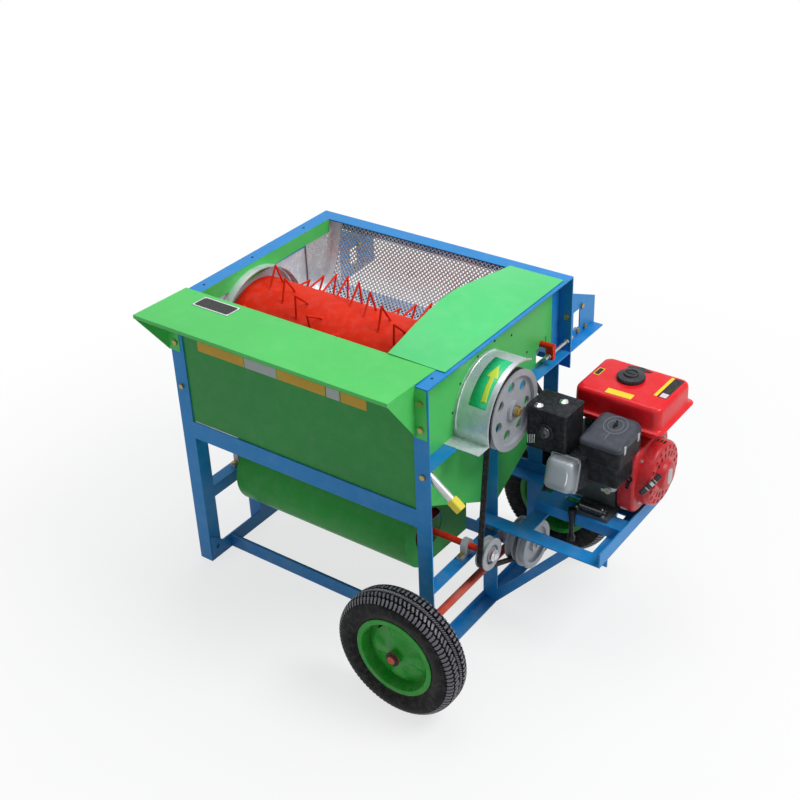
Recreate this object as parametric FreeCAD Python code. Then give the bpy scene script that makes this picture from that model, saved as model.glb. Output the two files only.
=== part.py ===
import FreeCAD, Part
import math
import os

os.makedirs("parts", exist_ok=True)

# Engine driven rice thresher. All sizes are in millimetres. X runs along the drum
# from the left face of the frame, Y from the front face to the back, Z up from the ground.
# The whole is moved to the middle of its box at the end.

V = FreeCAD.Vector
DIRECTION = {"x": V(1, 0, 0), "y": V(0, 1, 0), "z": V(0, 0, 1)}

HALF_SHARE = 0.5
FULL_TURN = 360.0
QUARTER = 90.0
CUT = 30.0            # overrun of every cutting tool
RUN = 0.05            # clearance of a shaft in its bore
GAP = 0.3             # clearance between neighbours that do not touch
STRAIGHT = 0.95       # cosine above which an edge counts as running along an axis

# frame of angle iron
FRAME_W = 850.0
FRAME_D = 695.0
FRAME_H = 861.0
IRON = 45.0
IRON_T = 4.0
SHEET_T = 1.5
PANEL_T = 2.0
BEARING_DROP = 232.0
FRONT_RAIL_DROP = 365.0
FRONT_RAIL_DEEP = 55.0
MIDDLE_POST_RIGHT_Y = 310.0
MIDDLE_POST_LEFT_Y = 227.0
REAR_LEG_BACK = 150.0
UPRIGHT_BACK = 70.0
ARCH_TOP = 425.0
REAR_POST_FOOT = 577.0
BASE_UPSTAND = 20.0
CROSS_Y = 89.0
CROSS_DEEP = 43.0
GUSSET_TOP = 90.0
GUSSET_T = 4.0
GUSSET_HOLE = 8.0

# drum
DRUM_Y = 299.0
DRUM_SEAT = 36.5
DRUM_R = 147.0
DRUM_T = 2.0
DRUM_X0 = 57.0
DRUM_END = 55.0
DRUM_SHAFT_R = 15.0
TOOTH_R = 3.0
TOOTH_TIP_R = 208.0
TOOTH_SPREAD = 11.5
TOOTH_STEP = 71.5
TOOTH_FIRST = 33.0
TOOTH_MARGIN = 24.0
TOOTH_TWIST = 12.9
TOOTH_START = 20.5
TOOTH_PAIRS = 3
TOOTH_SINK = 2.0
SHAFT_HOLE_R = 20.0

# sheets round the drum
COLLAR_R = 178.0
COLLAR_W = 25.0
HOOD_OPEN = 178.0
HOOD_FLAT = 38.0
HOOD_END = 10.0
HOOD_FRONT_Y = 88.0
HOOD_BACK = 37.0
HOOD_Y_SHARES = [0.0, 0.10, 0.20, 0.32, 0.42, 0.52, 0.62, 0.72, 0.86, 1.0]
HOOD_RISES = [2.0, 14.0, 28.0, 40.0, 46.5, 46.0, 38.0, 28.0, 13.0, 0.0]
SCREEN_TOP_DROP = 8.0
SCREEN_BEND_SHARE = 0.63
SCREEN_BEND_UP = 38.0
CONCAVE_R = 214.0
CONCAVE_START = 196.0
CONCAVE_END = 352.0
CONCAVE_T = 2.0
TABLE_FRONT = 110.0
TABLE_BACK = 90.0
TABLE_RISE = 7.0
TABLE_LEFT = 7.0
TABLE_RIGHT = 38.0
TABLE_SIDE_FOOT = 144.0
TABLE_FLANGE = 34.0
TABLE_LIP = 9.0
TABLE_BOLT_DROPS = [43.0, 116.5]
TABLE_BOLT_IN = 21.0
PLATE_X = 79.0
PLATE_W = 125.0
PLATE_Y = 21.0
PLATE_D = 54.0
PLATE_T = 0.8
SLOT_Y = 570.0
SLOT_W = 52.0
SLOT_LOW = 9.0
SLOT_H = 63.0

# hopper and fan
HOPPER_Y = 51.5
HOPPER_DROP = 17.4
HOPPER_CLEAR = 0.3
HOPPER_LIP_SHARE = 1.64
HOPPER_REAR_Y = 545.0
HOPPER_REAR_UP = 95.0
FAN_Y = 190.0
FAN_Z_SHARE = 0.434
FAN_R = 111.0
FAN_X0 = 108.0
FAN_END = 144.0
FAN_INLET_R = 62.0
FAN_MOUTH = 140.0
FAN_DUCT = 150.0
FAN_SHAFT_R = 9.0
FAN_SEAT = 30.0
FAN_IRON = 38.0
FAN_IRON_T = 3.0
FAN_BLADE_R = 94.0
FAN_BLADES = 4
FAN_FOOT_W = 30.0

# drive
PULLEY_X = 35.0
PULLEY_W = 25.0
DRUM_PULLEY_R = 110.7
FAN_PULLEY_R = 45.5
JACK_PULLEY_R = 62.0
ENGINE_PULLEY_R = 37.0
BELT_W = 16.0
BELT_T = 9.0
BELT_SLANT = 2.8
BELT_DROP = 0.6
BELT_FIT = 0.5
WEB_T = 7.0
RIM_T = 7.0
HUB_WALL = 11.0
WEB_HOLES = 7
WEB_HOLE_R = 15.0
WEB_HOLE_START = 43.0
WEB_HOLE_SHARE = 0.62
JACK_OFF_POST = 40.0
JACK_DROP = 85.0
JACK_SHAFT_R = 10.0
JACK_X_IN = 38.0
JACK_OUTER_X = 75.0
JACK_OUTER_R = 70.0
JACK_OUTER_W = 25.0
JACK_SLEEVE = 28.0
BLOCK_W = 26.0
BLOCK_FOOT = 9.0
BLOCK_LONG = 122.0
BLOCK_BOLT_SHARE = 0.39
BLOCK_IN = 8.0
BLOCK_WALL = 16.0
FAN_BLOCK_LONG = 72.0
FAN_BLOCK_WALL = 10.0
JACK_BLOCK_LONG = 100.0
JACK_WALL = 12.0
FAN_BLOCK_W = 18.0
GUARD_R = 137.0
GUARD_BEYOND = 5.0
GUARD_START = 60.0
TONGUE = 48.0
BEAD_R = 3.0
BEAD_SHORT = 4.0

# engine platform
PLATFORM_TOP = 301.0
PLATFORM_OUT = 337.0
PLATFORM_DROP = 28.0
PLATFORM_UP = 45.0
PLATFORM_BEYOND = 65.0
REAR_RAIL_IN = 150.0
CROSS_RAIL_X = 69.0
BRACE_WIDE = 40.0
BRACE_TOP_X = 225.0
CHANNEL_W = 50.0
CHANNEL_H = 34.0
CHANNEL_FRONT = 156.0
CHANNEL_REAR_X = 165.0

# engine, from its crank axis
CRANK_H = 106.0
ENGINE_X0 = 125.0
ENGINE_X1 = 280.0
CASE_FRONT = 95.0
CASE_BACK = 75.0
CASE_TOP = 88.0
CASE_ROUND = 14.0
FOOT_FRONT = 147.0
FOOT_BACK = 60.0
FOOT_X0 = 180.0
FOOT_X1 = 285.0
FOOT_T = 10.0
CRANK_R = 9.5
TILT = 14.5
CYL_FROM = 60.0
CYL_TO = 205.0
CYL_HIGH = 43.0
CYL_X0 = 142.0
CYL_X1 = 222.0
FIN_COUNT = 7
FIN_GAP = 5.0
FIN_STEP = 13.0
FIN_DEEP = 12.0
FIN_FIRST = 108.0
COVER_LONG = 43.0
COVER_HIGH = 50.0
COVER_X0 = 137.0
COVER_X1 = 226.0
COVER_ROUND = 16.0
MUFFLER_X0 = 62.0
MUFFLER_X1 = 180.0
MUFFLER_Y0 = 195.0
MUFFLER_Y1 = 98.0
MUFFLER_Z0 = 94.0
MUFFLER_Z1 = 214.0
MUFFLER_ROUND = 8.0
OUTLET_R = 15.0
OUTLET_LONG = 12.0
AIR_X0 = 215.0
AIR_X1 = 335.0
AIR_LOW_X0 = 240.0
AIR_Y0 = 199.0
AIR_Y1 = 67.0
AIR_Z0 = 48.0
AIR_STEP = 150.0
AIR_Z1 = 204.0
AIR_DROP = 30.0
AIR_ROUND = 12.0
CARB_X0 = 232.0
CARB_X1 = 300.0
CARB_Y0 = 150.0
CARB_Y1 = 105.0
CARB_Z0 = -8.0
TANK_X0 = 118.0
TANK_X1 = 368.0
TANK_FRONT = 48.0
TANK_BACK = 139.0
TANK_RIM_UP = 149.0
TANK_LOW_UP = 117.0
TANK_TOP_UP = 219.0
TANK_ROUND = 22.0
TANK_EDGE = 10.0
TANK_RIM = 11.0
TANK_RIM_T = 4.0
CAP_X = 230.0
CAP_BACK = 60.0
CAP_R = 38.0
CAP_H = 19.0
NECK_R = 17.0
NECK_H = 8.0
SHROUD_X0 = 285.0
SHROUD_X1 = 335.0
SHROUD_FRONT = 105.0
SHROUD_BACK = 95.0
SHROUD_LOW = 96.0
SHROUD_HIGH = 100.0
SHROUD_ROUND = 30.0
RECOIL_R = 92.0
RECOIL_X1 = 390.0
RECOIL_STEP = 372.0
RECOIL_HUB_R = 40.0
GRIP_X = 378.0
GRIP_FRONT = 96.0
GRIP_UP = 26.6
GRIP_SLOPE = 45.0
GRIP_LEAN = 26.8
GRIP_GAP = 0.3
GRIP_LONG = 72.0
GRIP_R = 8.0
GRIP_STEM = 14.0
GRIP_STEM_R = 5.0
BOSS_R = 9.0
BOSS_LONG = 34.0
LEVER_X = 322.0
LEVER_UP = 28.0
LEVER_REST = 100.0
LEVER_LONG = 32.0
LEVER_T = 3.0
LEVER_W = 9.0
LEVER_PIN_R = 3.0
CHOKE_X = 284.0
CHOKE_UP = 30.0
CHOKE_LONG = 21.0
TAP_UP = 3.0
TAP_LONG = 18.0
BRACKET_POST_W = 20.0
BRACKET_POST_LONG = 60.0

# wheels
WHEEL_R = 180.0
WHEEL_W = 88.0
WHEEL_BEAD_R = 100.0
RIM_FLANGE_R = 114.0
RIM_WALL = 3.0
RIM_HALF = 37.0
DISH_Y = 10.0
HUB_R = 19.0
HUB_HALF = 38.0
TYRE_CHEEK = 15.0
TREAD_EDGE = 26.0
TREAD_DROP = 10.0
FRONT_WHEEL_Y = 160.0
REAR_WHEEL_BACK = 55.0
AXLE_R = 11.0
AXLE_OFF = 11.2
WASHER_R = 20.0
WASHER_T = 3.0
AXLE_TAIL = 7.0

# carry handles
HANDLE_Z = 605.0
HANDLE_Y = 20.0
HANDLE_IN = 21.0
HANDLE_R = 10.5
HANDLE_LONG = 121.0
HANDLE_DROOP = 36.6
GRIP_TUBE = 34.0
GRIP_TUBE_R = 14.0
TUBE_WALL = 2.0

# rear brackets
BRACKET_LONG = 185.0
BRACKET_TOP = 58.0
BRACKET_END_DROP = 145.0
BRACKET_OFF = 29.0
BRACKET_FLANGE_UP = 11.0
BRACKET_FLANGE_TOP = 71.0
BRACKET_T = 3.0
BRACKET_NOTCH = 61.0
BRACKET_SLOT_W = 37.0
BRACKET_SLOT_H = 58.0
BRACKET_SLOT_UP = 26.0
BRACKET_BOLTS = [(107.0, 88.0), (127.0, 15.0), (86.0, 18.0)]

# concave adjuster
ADJUST_Y = 598.0
ADJUST_UP = 59.0
ADJUST_R = 9.0
ADJUST_IN = 90.0
ADJUST_OUT = 10.0
STRAP_LONG = 72.0
STRAP_DEEP = 22.0
STRAP_IN = 14.0
LUG_X = 22.0
LUG_Y = 14.0
LUG_DROP = 38.0
LUG_HOLE_R = 7.5
SCREW_DROP = 25.0
SCREW_R = 5.0
SCREW_FRONT = 32.0
SCREW_TAIL = 20.0
NUT_GAP = 2.0
POST_NUT_GAP = 4.5

# fasteners
HEAD_R = 8.0
HEAD_H = 5.5
NUT_H = 6.5
SHANK_R = 4.0
SHANK_FIT = 0.1
HEX = 6
POST_BOLT_UPS = [34.0, 107.0]
POST_BOLT_IN = 15.0

# positions that follow from the sizes above
XL = IRON
XR = FRAME_W - IRON
BEARING_TOP = FRAME_H - BEARING_DROP
FRONT_RAIL_TOP = FRAME_H - FRONT_RAIL_DROP
RAIL_UNDER = FRAME_H - IRON_T
DRUM_Z = BEARING_TOP + DRUM_SEAT
DRUM_X1 = FRAME_W - DRUM_END
FAN_Z = BEARING_TOP * FAN_Z_SHARE
FAN_X1 = FRAME_W - FAN_END
FAN_RAIL_TOP = FAN_Z - FAN_SEAT
REAR_LEG_Y = FRAME_D - REAR_LEG_BACK
UPRIGHT_Y = FRAME_D - UPRIGHT_BACK
JACK_Y = MIDDLE_POST_RIGHT_Y + IRON_T + JACK_OFF_POST
JACK_Z = PLATFORM_TOP - JACK_DROP
PULLEY_X0 = FRAME_W + PULLEY_X
PULLEY_X1 = PULLEY_X0 + PULLEY_W
BELT_X = PULLEY_X0 + PULLEY_W * HALF_SHARE
CRANK_Y = REAR_LEG_Y
CRANK_Z = PLATFORM_TOP + CHANNEL_H + CRANK_H
OUTER_X = FRAME_W + PLATFORM_OUT
AXLE_X = FRAME_W + AXLE_OFF
AXLE_Z = WHEEL_R
GUARD_X1 = PULLEY_X1 + GUARD_BEYOND


def at(axis, u, v, w):
    """Point whose place along the axis is w, with u and v its other two coordinates."""
    if axis == "x":
        return V(w, u, v)
    if axis == "y":
        return V(u, w, v)
    return V(u, v, w)


def box(x0, x1, y0, y1, z0, z1):
    """Block between two corners."""
    return Part.makeBox(x1 - x0, y1 - y0, z1 - z0, V(x0, y0, z0))


def rod(axis, u, v, radius, w0, w1):
    """Round bar along an axis."""
    return Part.makeCylinder(radius, w1 - w0, at(axis, u, v, w0), DIRECTION[axis])


def ring(axis, u, v, inner, outer, w0, w1):
    """Round tube along an axis."""
    return rod(axis, u, v, outer, w0, w1).cut(rod(axis, u, v, inner, w0 - CUT, w1 + CUT))


def prism(axis, outline, w0, w1):
    """Outline of u, v points drawn out along an axis."""
    points = [at(axis, u, v, w0) for u, v in outline]
    face = Part.Face(Part.makePolygon(points + points[:1]))
    return face.extrude(DIRECTION[axis] * (w1 - w0))


def turned(axis, u, v, profile):
    """Closed profile of w, radius points turned round an axis through u, v."""
    points = [at(axis, u + r, v, w) for w, r in profile]
    face = Part.Face(Part.makePolygon(points + points[:1]))
    return face.revolve(at(axis, u, v, 0), DIRECTION[axis], FULL_TURN)


def polar(u, v, radius, angle):
    """Point on a circle, the angle counted from the u direction towards v."""
    turn = math.radians(angle)
    return u + radius * math.cos(turn), v + radius * math.sin(turn)


def arc_band(axis, u, v, inner, outer, start, end, w0, w1):
    """Curved strip between two radii and two angles, drawn out along an axis."""
    middle = (start + end) * HALF_SHARE

    def spot(radius, angle):
        a, b = polar(u, v, radius, angle)
        return at(axis, a, b, w0)

    far = Part.Arc(spot(outer, start), spot(outer, middle), spot(outer, end)).toShape()
    near = Part.Arc(spot(inner, end), spot(inner, middle), spot(inner, start)).toShape()
    first = Part.makeLine(spot(outer, end), spot(inner, end))
    last = Part.makeLine(spot(inner, start), spot(outer, start))
    face = Part.Face(Part.Wire([far, first, near, last]))
    return face.extrude(DIRECTION[axis] * (w1 - w0))


def band(path, thickness):
    """Outline of a strip of even thickness laid on the left of a path of u, v points."""
    normals = []
    for (a, b), (c, d) in zip(path[:-1], path[1:]):
        length = math.hypot(c - a, d - b)
        normals.append(((b - d) / length, (c - a) / length))
    shifted = []
    for index, (a, b) in enumerate(path):
        before = normals[max(index - 1, 0)]
        after = normals[min(index, len(normals) - 1)]
        p = before[0] + after[0]
        q = before[1] + after[1]
        scale = thickness / (before[0] * p + before[1] * q)
        shifted.append((a + p * scale, b + q * scale))
    return path + shifted[::-1]


def angle_iron(axis, u, v, su, sv, w0, w1, leg_u=IRON, leg_v=IRON, thick=IRON_T):
    """L section with its outer corner at u, v and legs towards su and sv."""
    outline = [
        (u, v),
        (u + su * leg_u, v),
        (u + su * leg_u, v + sv * thick),
        (u + su * thick, v + sv * thick),
        (u + su * thick, v + sv * leg_v),
        (u, v + sv * leg_v),
    ]
    return prism(axis, outline, w0, w1)


def upright_edges(shape, axis):
    """Straight edges of a shape along one axis."""
    found = []
    for edge in shape.Edges:
        if len(edge.Vertexes) != 2:
            continue
        run = edge.Vertexes[1].Point - edge.Vertexes[0].Point
        if run.Length > 0 and abs(run.normalize().dot(DIRECTION[axis])) > STRAIGHT:
            found.append(edge)
    return found


def round_box(axis, radius, x0, x1, y0, y1, z0, z1):
    """Block whose edges along one axis are rounded."""
    block = box(x0, x1, y0, y1, z0, z1)
    return block.makeFillet(radius, upright_edges(block, axis))


def hexagon(axis, u, v, radius, w0, w1):
    """Hexagonal head or nut."""
    outline = [polar(u, v, radius, FULL_TURN * step / HEX) for step in range(HEX)]
    return prism(axis, outline, w0, w1)


def bolt(axis, u, v, head_w, toward, grip):
    """Hex bolt: head outside head_w, shank of the gripped length and a nut behind."""
    far = head_w - toward * grip
    head = hexagon(axis, u, v, HEAD_R, min(head_w, head_w + toward * HEAD_H),
                   max(head_w, head_w + toward * HEAD_H))
    nut = hexagon(axis, u, v, HEAD_R, min(far, far - toward * NUT_H),
                  max(far, far - toward * NUT_H))
    shank = rod(axis, u, v, SHANK_R, min(head_w, far), max(head_w, far))
    hole = rod(axis, u, v, SHANK_R + SHANK_FIT, min(head_w, far), max(head_w, far))
    return head.fuse([shank, nut]), hole


def near(shape, other):
    """True when the boxes of two shapes meet."""
    return shape.BoundBox.intersect(other.BoundBox)


def coped(shape, others):
    """Shape with every earlier member it meets cut away."""
    for other in others:
        if near(shape, other):
            shape = shape.cut(other)
    return shape


parts = {}
frame = []


def weld(name, shapes):
    """Frame members of one node, each coped against all members before it."""
    made = []
    for shape in shapes:
        piece = coped(shape, frame)
        frame.append(piece)
        made.append(piece)
    parts[name] = parts.get(name, []) + made


# legs and posts
weld("front_left_leg", [angle_iron("z", XL, 0, -1, 1, 0, RAIL_UNDER)])
weld("front_right_leg", [angle_iron("z", XR, 0, 1, 1, 0, RAIL_UNDER)])
weld("rear_left_leg", [angle_iron("z", XL, FRAME_D, -1, -1, 0, RAIL_UNDER)])
weld("rear_right_post", [angle_iron("z", XR, FRAME_D, 1, -1, REAR_POST_FOOT, RAIL_UNDER)])
RAIL_SEAT = BEARING_TOP - IRON_T
weld("middle_posts", [
    angle_iron("z", XR, MIDDLE_POST_RIGHT_Y, 1, 1, IRON_T, RAIL_SEAT),
    angle_iron("z", XL, MIDDLE_POST_LEFT_Y, -1, 1, IRON_T, RAIL_SEAT),
])
weld("wheel_arch", [
    angle_iron("z", XR, REAR_LEG_Y, 1, 1, 0, ARCH_TOP - IRON_T),
    angle_iron("y", XR, ARCH_TOP, 1, -1, REAR_LEG_Y, FRAME_D),
    angle_iron("z", XR, UPRIGHT_Y, 1, 1, ARCH_TOP, RAIL_SEAT),
])

# rails
weld("top_rails", [
    angle_iron("y", XL, FRAME_H, -1, -1, 0, FRAME_D),
    angle_iron("y", XR, FRAME_H, 1, -1, 0, FRAME_D),
    angle_iron("x", FRAME_D, FRAME_H, -1, -1, XL, XR),
])
weld("cross_rails", [
    angle_iron("x", 0, FRONT_RAIL_TOP, 1, -1, XL, XR, IRON, FRONT_RAIL_DEEP),
    angle_iron("x", FRAME_D, BEARING_TOP, -1, -1, XL, XR),
])
weld("side_rails", [
    angle_iron("y", XL, BEARING_TOP, -1, -1, IRON_T, FRAME_D - IRON_T),
    angle_iron("y", XR, BEARING_TOP, 1, -1, IRON_T, FRAME_D - IRON_T),
    angle_iron("y", FAN_IRON, FAN_RAIL_TOP, -1, -1, IRON_T, MIDDLE_POST_LEFT_Y, FAN_IRON,
               FAN_IRON, FAN_IRON_T),
    angle_iron("y", FRAME_W - FAN_IRON, FAN_RAIL_TOP, 1, -1, IRON_T, MIDDLE_POST_RIGHT_Y,
               FAN_IRON, FAN_IRON, FAN_IRON_T),
])
gusset = prism("x", [(IRON_T, GUSSET_TOP), (IRON_T, CROSS_DEEP * HALF_SHARE),
                     (CROSS_Y, CROSS_DEEP * HALF_SHARE)], XL, XL + GUSSET_T)
gusset = gusset.cut(rod("x", CROSS_Y * HALF_SHARE * HALF_SHARE + IRON_T, CROSS_DEEP,
                        GUSSET_HOLE, XL - CUT, XL + CUT))
weld("base_rails", [
    angle_iron("y", XL, 0, -1, 1, IRON_T, FRAME_D - IRON_T),
    angle_iron("y", XR, 0, 1, 1, IRON_T, REAR_LEG_Y + IRON, IRON, BASE_UPSTAND),
    angle_iron("x", CROSS_Y, 0, 1, 1, XL, XR, IRON, CROSS_DEEP),
    angle_iron("x", REAR_LEG_Y, 0, 1, 1, XL, XR, IRON, CROSS_DEEP),
    gusset,
])

# engine platform
FRONT_RAIL_X = FRAME_W - FAN_IRON
PLATFORM_Z0 = PLATFORM_TOP - IRON_T
PLATFORM_END_Y = CRANK_Y + PLATFORM_BEYOND
FRONT_RAIL_BACK = MIDDLE_POST_RIGHT_Y
cross_rail = box(FRAME_W + CROSS_RAIL_X, FRAME_W + CROSS_RAIL_X + IRON, FRONT_RAIL_BACK,
                 REAR_LEG_Y - IRON_T, PLATFORM_Z0, PLATFORM_TOP)
channel_top = PLATFORM_TOP + CHANNEL_H


def channel(x0, y0):
    """Channel along X, open downwards."""
    outer = box(x0, OUTER_X - IRON_T, y0, y0 + CHANNEL_W, PLATFORM_TOP, channel_top)
    inner = box(FRAME_W - CUT, OUTER_X + CUT, y0 + IRON_T, y0 + CHANNEL_W - IRON_T,
                PLATFORM_TOP - CUT, channel_top - IRON_T)
    return outer.cut(inner)


weld("engine_platform", [
    angle_iron("y", OUTER_X, PLATFORM_Z0, -1, 1, FRONT_RAIL_BACK - IRON, PLATFORM_END_Y, IRON,
               PLATFORM_UP),
    angle_iron("x", FRONT_RAIL_BACK, PLATFORM_TOP, -1, -1, FRONT_RAIL_X, OUTER_X, IRON,
               PLATFORM_DROP),
    angle_iron("x", REAR_LEG_Y, PLATFORM_Z0, -1, 1, FRAME_W - REAR_RAIL_IN, OUTER_X, IRON,
               CHANNEL_H + IRON_T),
    cross_rail,
    channel(FRAME_W + CROSS_RAIL_X, CRANK_Y - CHANNEL_FRONT),
    channel(FRAME_W + CHANNEL_REAR_X, CRANK_Y),
])
brace = prism("y", [
    (FRAME_W, 0),
    (FRAME_W + BRACE_TOP_X, PLATFORM_Z0 - BRACE_WIDE),
    (FRAME_W + BRACE_TOP_X, PLATFORM_Z0),
    (FRAME_W, BRACE_WIDE),
], MIDDLE_POST_RIGHT_Y, MIDDLE_POST_RIGHT_Y + IRON_T)
weld("platform_brace", [brace])

# sheets of the threshing chamber
parts["front_panel"] = [box(XL, XR, IRON_T, IRON_T + SHEET_T, FRONT_RAIL_TOP, RAIL_UNDER)]
TABLE_X1 = FRAME_W - TABLE_RIGHT


def table_z(y):
    """Height of the underside of the feed table."""
    return FRAME_H + TABLE_RISE * (TABLE_BACK - y) / (TABLE_BACK + TABLE_FRONT)


def table_side(x0, flange_x0, flange_x1):
    """Side plate of the feed table with the flange bolted on the leg."""
    plate = prism("x", [
        (0, FRAME_H - TABLE_SIDE_FOOT),
        (0, table_z(0)),
        (-TABLE_FRONT + SHEET_T, table_z(-TABLE_FRONT + SHEET_T)),
        (-TABLE_FRONT + SHEET_T, table_z(-TABLE_FRONT) - TABLE_LIP),
        (-SHEET_T, FRAME_H - TABLE_SIDE_FOOT),
    ], x0, x0 + SHEET_T)
    flange = box(flange_x0, flange_x1, -SHEET_T, 0, FRAME_H - TABLE_SIDE_FOOT, RAIL_UNDER)
    return plate.fuse(flange)


table = prism("x", [
    (TABLE_BACK, table_z(TABLE_BACK)),
    (TABLE_BACK, table_z(TABLE_BACK) + SHEET_T),
    (-TABLE_FRONT, table_z(-TABLE_FRONT) + SHEET_T),
    (-TABLE_FRONT, table_z(-TABLE_FRONT) - TABLE_LIP),
    (-TABLE_FRONT + SHEET_T, table_z(-TABLE_FRONT) - TABLE_LIP),
    (-TABLE_FRONT + SHEET_T, table_z(-TABLE_FRONT + SHEET_T)),
], -TABLE_LEFT, TABLE_X1 + SHEET_T)
left_side = table_side(-TABLE_LEFT, -TABLE_LEFT, TABLE_FLANGE)
right_side = table_side(TABLE_X1, TABLE_X1, TABLE_X1 + TABLE_FLANGE)
parts["feed_table"] = [table.fuse([left_side, right_side]).removeSplitter()]
parts["rating_plate"] = [prism("x", [
    (PLATE_Y, table_z(PLATE_Y) + SHEET_T),
    (PLATE_Y, table_z(PLATE_Y) + SHEET_T + PLATE_T),
    (PLATE_Y + PLATE_D, table_z(PLATE_Y + PLATE_D) + SHEET_T + PLATE_T),
    (PLATE_Y + PLATE_D, table_z(PLATE_Y + PLATE_D) + SHEET_T),
], PLATE_X, PLATE_X + PLATE_W)]

SHEET_OUT = IRON_T + PANEL_T
left_sheet = box(XL - SHEET_OUT, XL - IRON_T, IRON_T, FRAME_D - IRON_T, BEARING_TOP, RAIL_UNDER)
left_sheet = left_sheet.cut(rod("x", DRUM_Y, DRUM_Z, SHAFT_HOLE_R, -CUT, XL + CUT))
collar = arc_band("x", DRUM_Y, DRUM_Z, COLLAR_R - SHEET_T, COLLAR_R + SHEET_T, 0,
                  FULL_TURN * HALF_SHARE, XL, XL + COLLAR_W)
parts["left_end_sheet"] = [left_sheet, collar]
right_panel = box(XR + IRON_T, XR + SHEET_OUT, IRON_T, FRAME_D - IRON, BEARING_TOP, RAIL_UNDER)
right_panel = right_panel.cut(rod("x", DRUM_Y, DRUM_Z, SHAFT_HOLE_R, XR - CUT, XR + CUT))
right_panel = right_panel.cut(box(XR - CUT, XR + CUT, SLOT_Y, SLOT_Y + SLOT_W,
                                  BEARING_TOP + SLOT_LOW, BEARING_TOP + SLOT_LOW + SLOT_H))
ADJUST_Z = BEARING_TOP + ADJUST_UP
strap_y = SLOT_Y - STRAP_IN
strap_z = ADJUST_Z - STRAP_DEEP * HALF_SHARE
strap = box(XR, XR + IRON_T, strap_y, strap_y + STRAP_LONG, strap_z, strap_z + STRAP_DEEP)
strap = strap.cut(rod("x", ADJUST_Y, ADJUST_Z, ADJUST_R + RUN, XR - CUT, XR + CUT))
parts["right_end_panel"] = [right_panel.fuse(strap)]


def hood_wire(x, share, lift):
    """Cross section of the hood at x, its rise scaled by a share."""
    back = FRAME_D - HOOD_BACK
    low = [(HOOD_FRONT_Y + (back - HOOD_FRONT_Y) * s, FRAME_H + lift + rise * share)
           for s, rise in zip(HOOD_Y_SHARES, HOOD_RISES)]
    high = [(y, z + SHEET_T) for y, z in low]
    points = [V(x, y, z) for y, z in low + high[::-1]]
    return Part.makePolygon(points + points[:1])


HOOD_X0 = FRAME_W - HOOD_OPEN
hood = Part.makeLoft([hood_wire(HOOD_X0, 1, SHEET_T), hood_wire(FRAME_W - HOOD_FLAT, 0, SHEET_T),
                      hood_wire(FRAME_W - HOOD_END, 0, SHEET_T)], True, True)
parts["drum_hood"] = [hood]

concave_y, concave_z = polar(DRUM_Y, DRUM_Z, CONCAVE_R, CONCAVE_END)
bend_y = concave_y + (FRAME_D - concave_y) * SCREEN_BEND_SHARE
screen_x0 = XL + GAP
screen_x1 = XR - GAP
screen_path = [
    (concave_y + GAP, concave_z + GAP),
    (bend_y, BEARING_TOP + SCREEN_BEND_UP),
    (FRAME_D - IRON_T - GAP - CONCAVE_T, RAIL_UNDER - SCREEN_TOP_DROP),
]
parts["rear_screen"] = [prism("x", band(screen_path, CONCAVE_T), screen_x0, screen_x1)]
parts["concave_screen"] = [arc_band("x", DRUM_Y, DRUM_Z, CONCAVE_R - CONCAVE_T, CONCAVE_R,
                                    CONCAVE_START, CONCAVE_END, screen_x0, screen_x1)]

# hopper sheet that runs down to touch the fan housing
start_y = HOPPER_Y
start_z = FRONT_RAIL_TOP - HOPPER_DROP
reach = math.hypot(FAN_Y - start_y, FAN_Z - start_z)
dip = math.degrees(math.atan2(FAN_Z - start_z, FAN_Y - start_y))
swing = math.degrees(math.asin((FAN_R + HOPPER_CLEAR) / reach))
touch = math.sqrt(reach ** 2 - (FAN_R + HOPPER_CLEAR) ** 2)
lip_y, lip_z = polar(start_y, start_z, touch * HOPPER_LIP_SHARE, dip + swing)
slope_sheet = prism("x", band([(start_y, start_z), (lip_y, lip_z)], SHEET_T), XL, XR)
side_outline = [
    (start_y, start_z),
    (lip_y, lip_z),
    (HOPPER_REAR_Y, lip_z + HOPPER_REAR_UP),
    (HOPPER_REAR_Y, RAIL_SEAT),
    (start_y, RAIL_SEAT),
]
left_cheek = coped(prism("x", side_outline, XL - SHEET_OUT, XL - IRON_T), frame)
right_cheek = coped(prism("x", side_outline, XR + IRON_T, XR + SHEET_OUT), frame)
parts["hopper"] = [slope_sheet, left_cheek, right_cheek]

# fan housing with an open mouth to the rear
slope = dip + swing
along = polar(0, 0, 1, slope)


def duct(wall, past):
    """Outline of the air duct, moved in by a wall and run past its mouth."""
    top_y, top_z = polar(FAN_Y, FAN_Z, FAN_R - wall, slope + QUARTER)
    end_y = top_y + along[0] * (FAN_DUCT + past)
    end_z = top_z + along[1] * (FAN_DUCT + past)
    return [
        (top_y, top_z),
        (FAN_Y, FAN_Z),
        (FAN_Y, FAN_Z - FAN_R + wall),
        (end_y, end_z - FAN_MOUTH + wall + wall - along[1] * past),
        (end_y, end_z),
    ]


housing = rod("x", FAN_Y, FAN_Z, FAN_R, FAN_X0, FAN_X1).fuse(prism("x", duct(0, 0), FAN_X0, FAN_X1))
hollow = rod("x", FAN_Y, FAN_Z, FAN_R - PANEL_T, FAN_X0 + PANEL_T, FAN_X1 - PANEL_T)
hollow = hollow.fuse(prism("x", duct(PANEL_T, CUT), FAN_X0 + PANEL_T, FAN_X1 - PANEL_T))
inlets = rod("x", FAN_Y, FAN_Z, FAN_INLET_R, FAN_X0 - CUT, FAN_X1 + CUT)
parts["fan_housing"] = [housing.cut(hollow).cut(inlets)]

# brackets behind the frame
BRACKET_Y1 = FRAME_D + BRACKET_LONG


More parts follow.
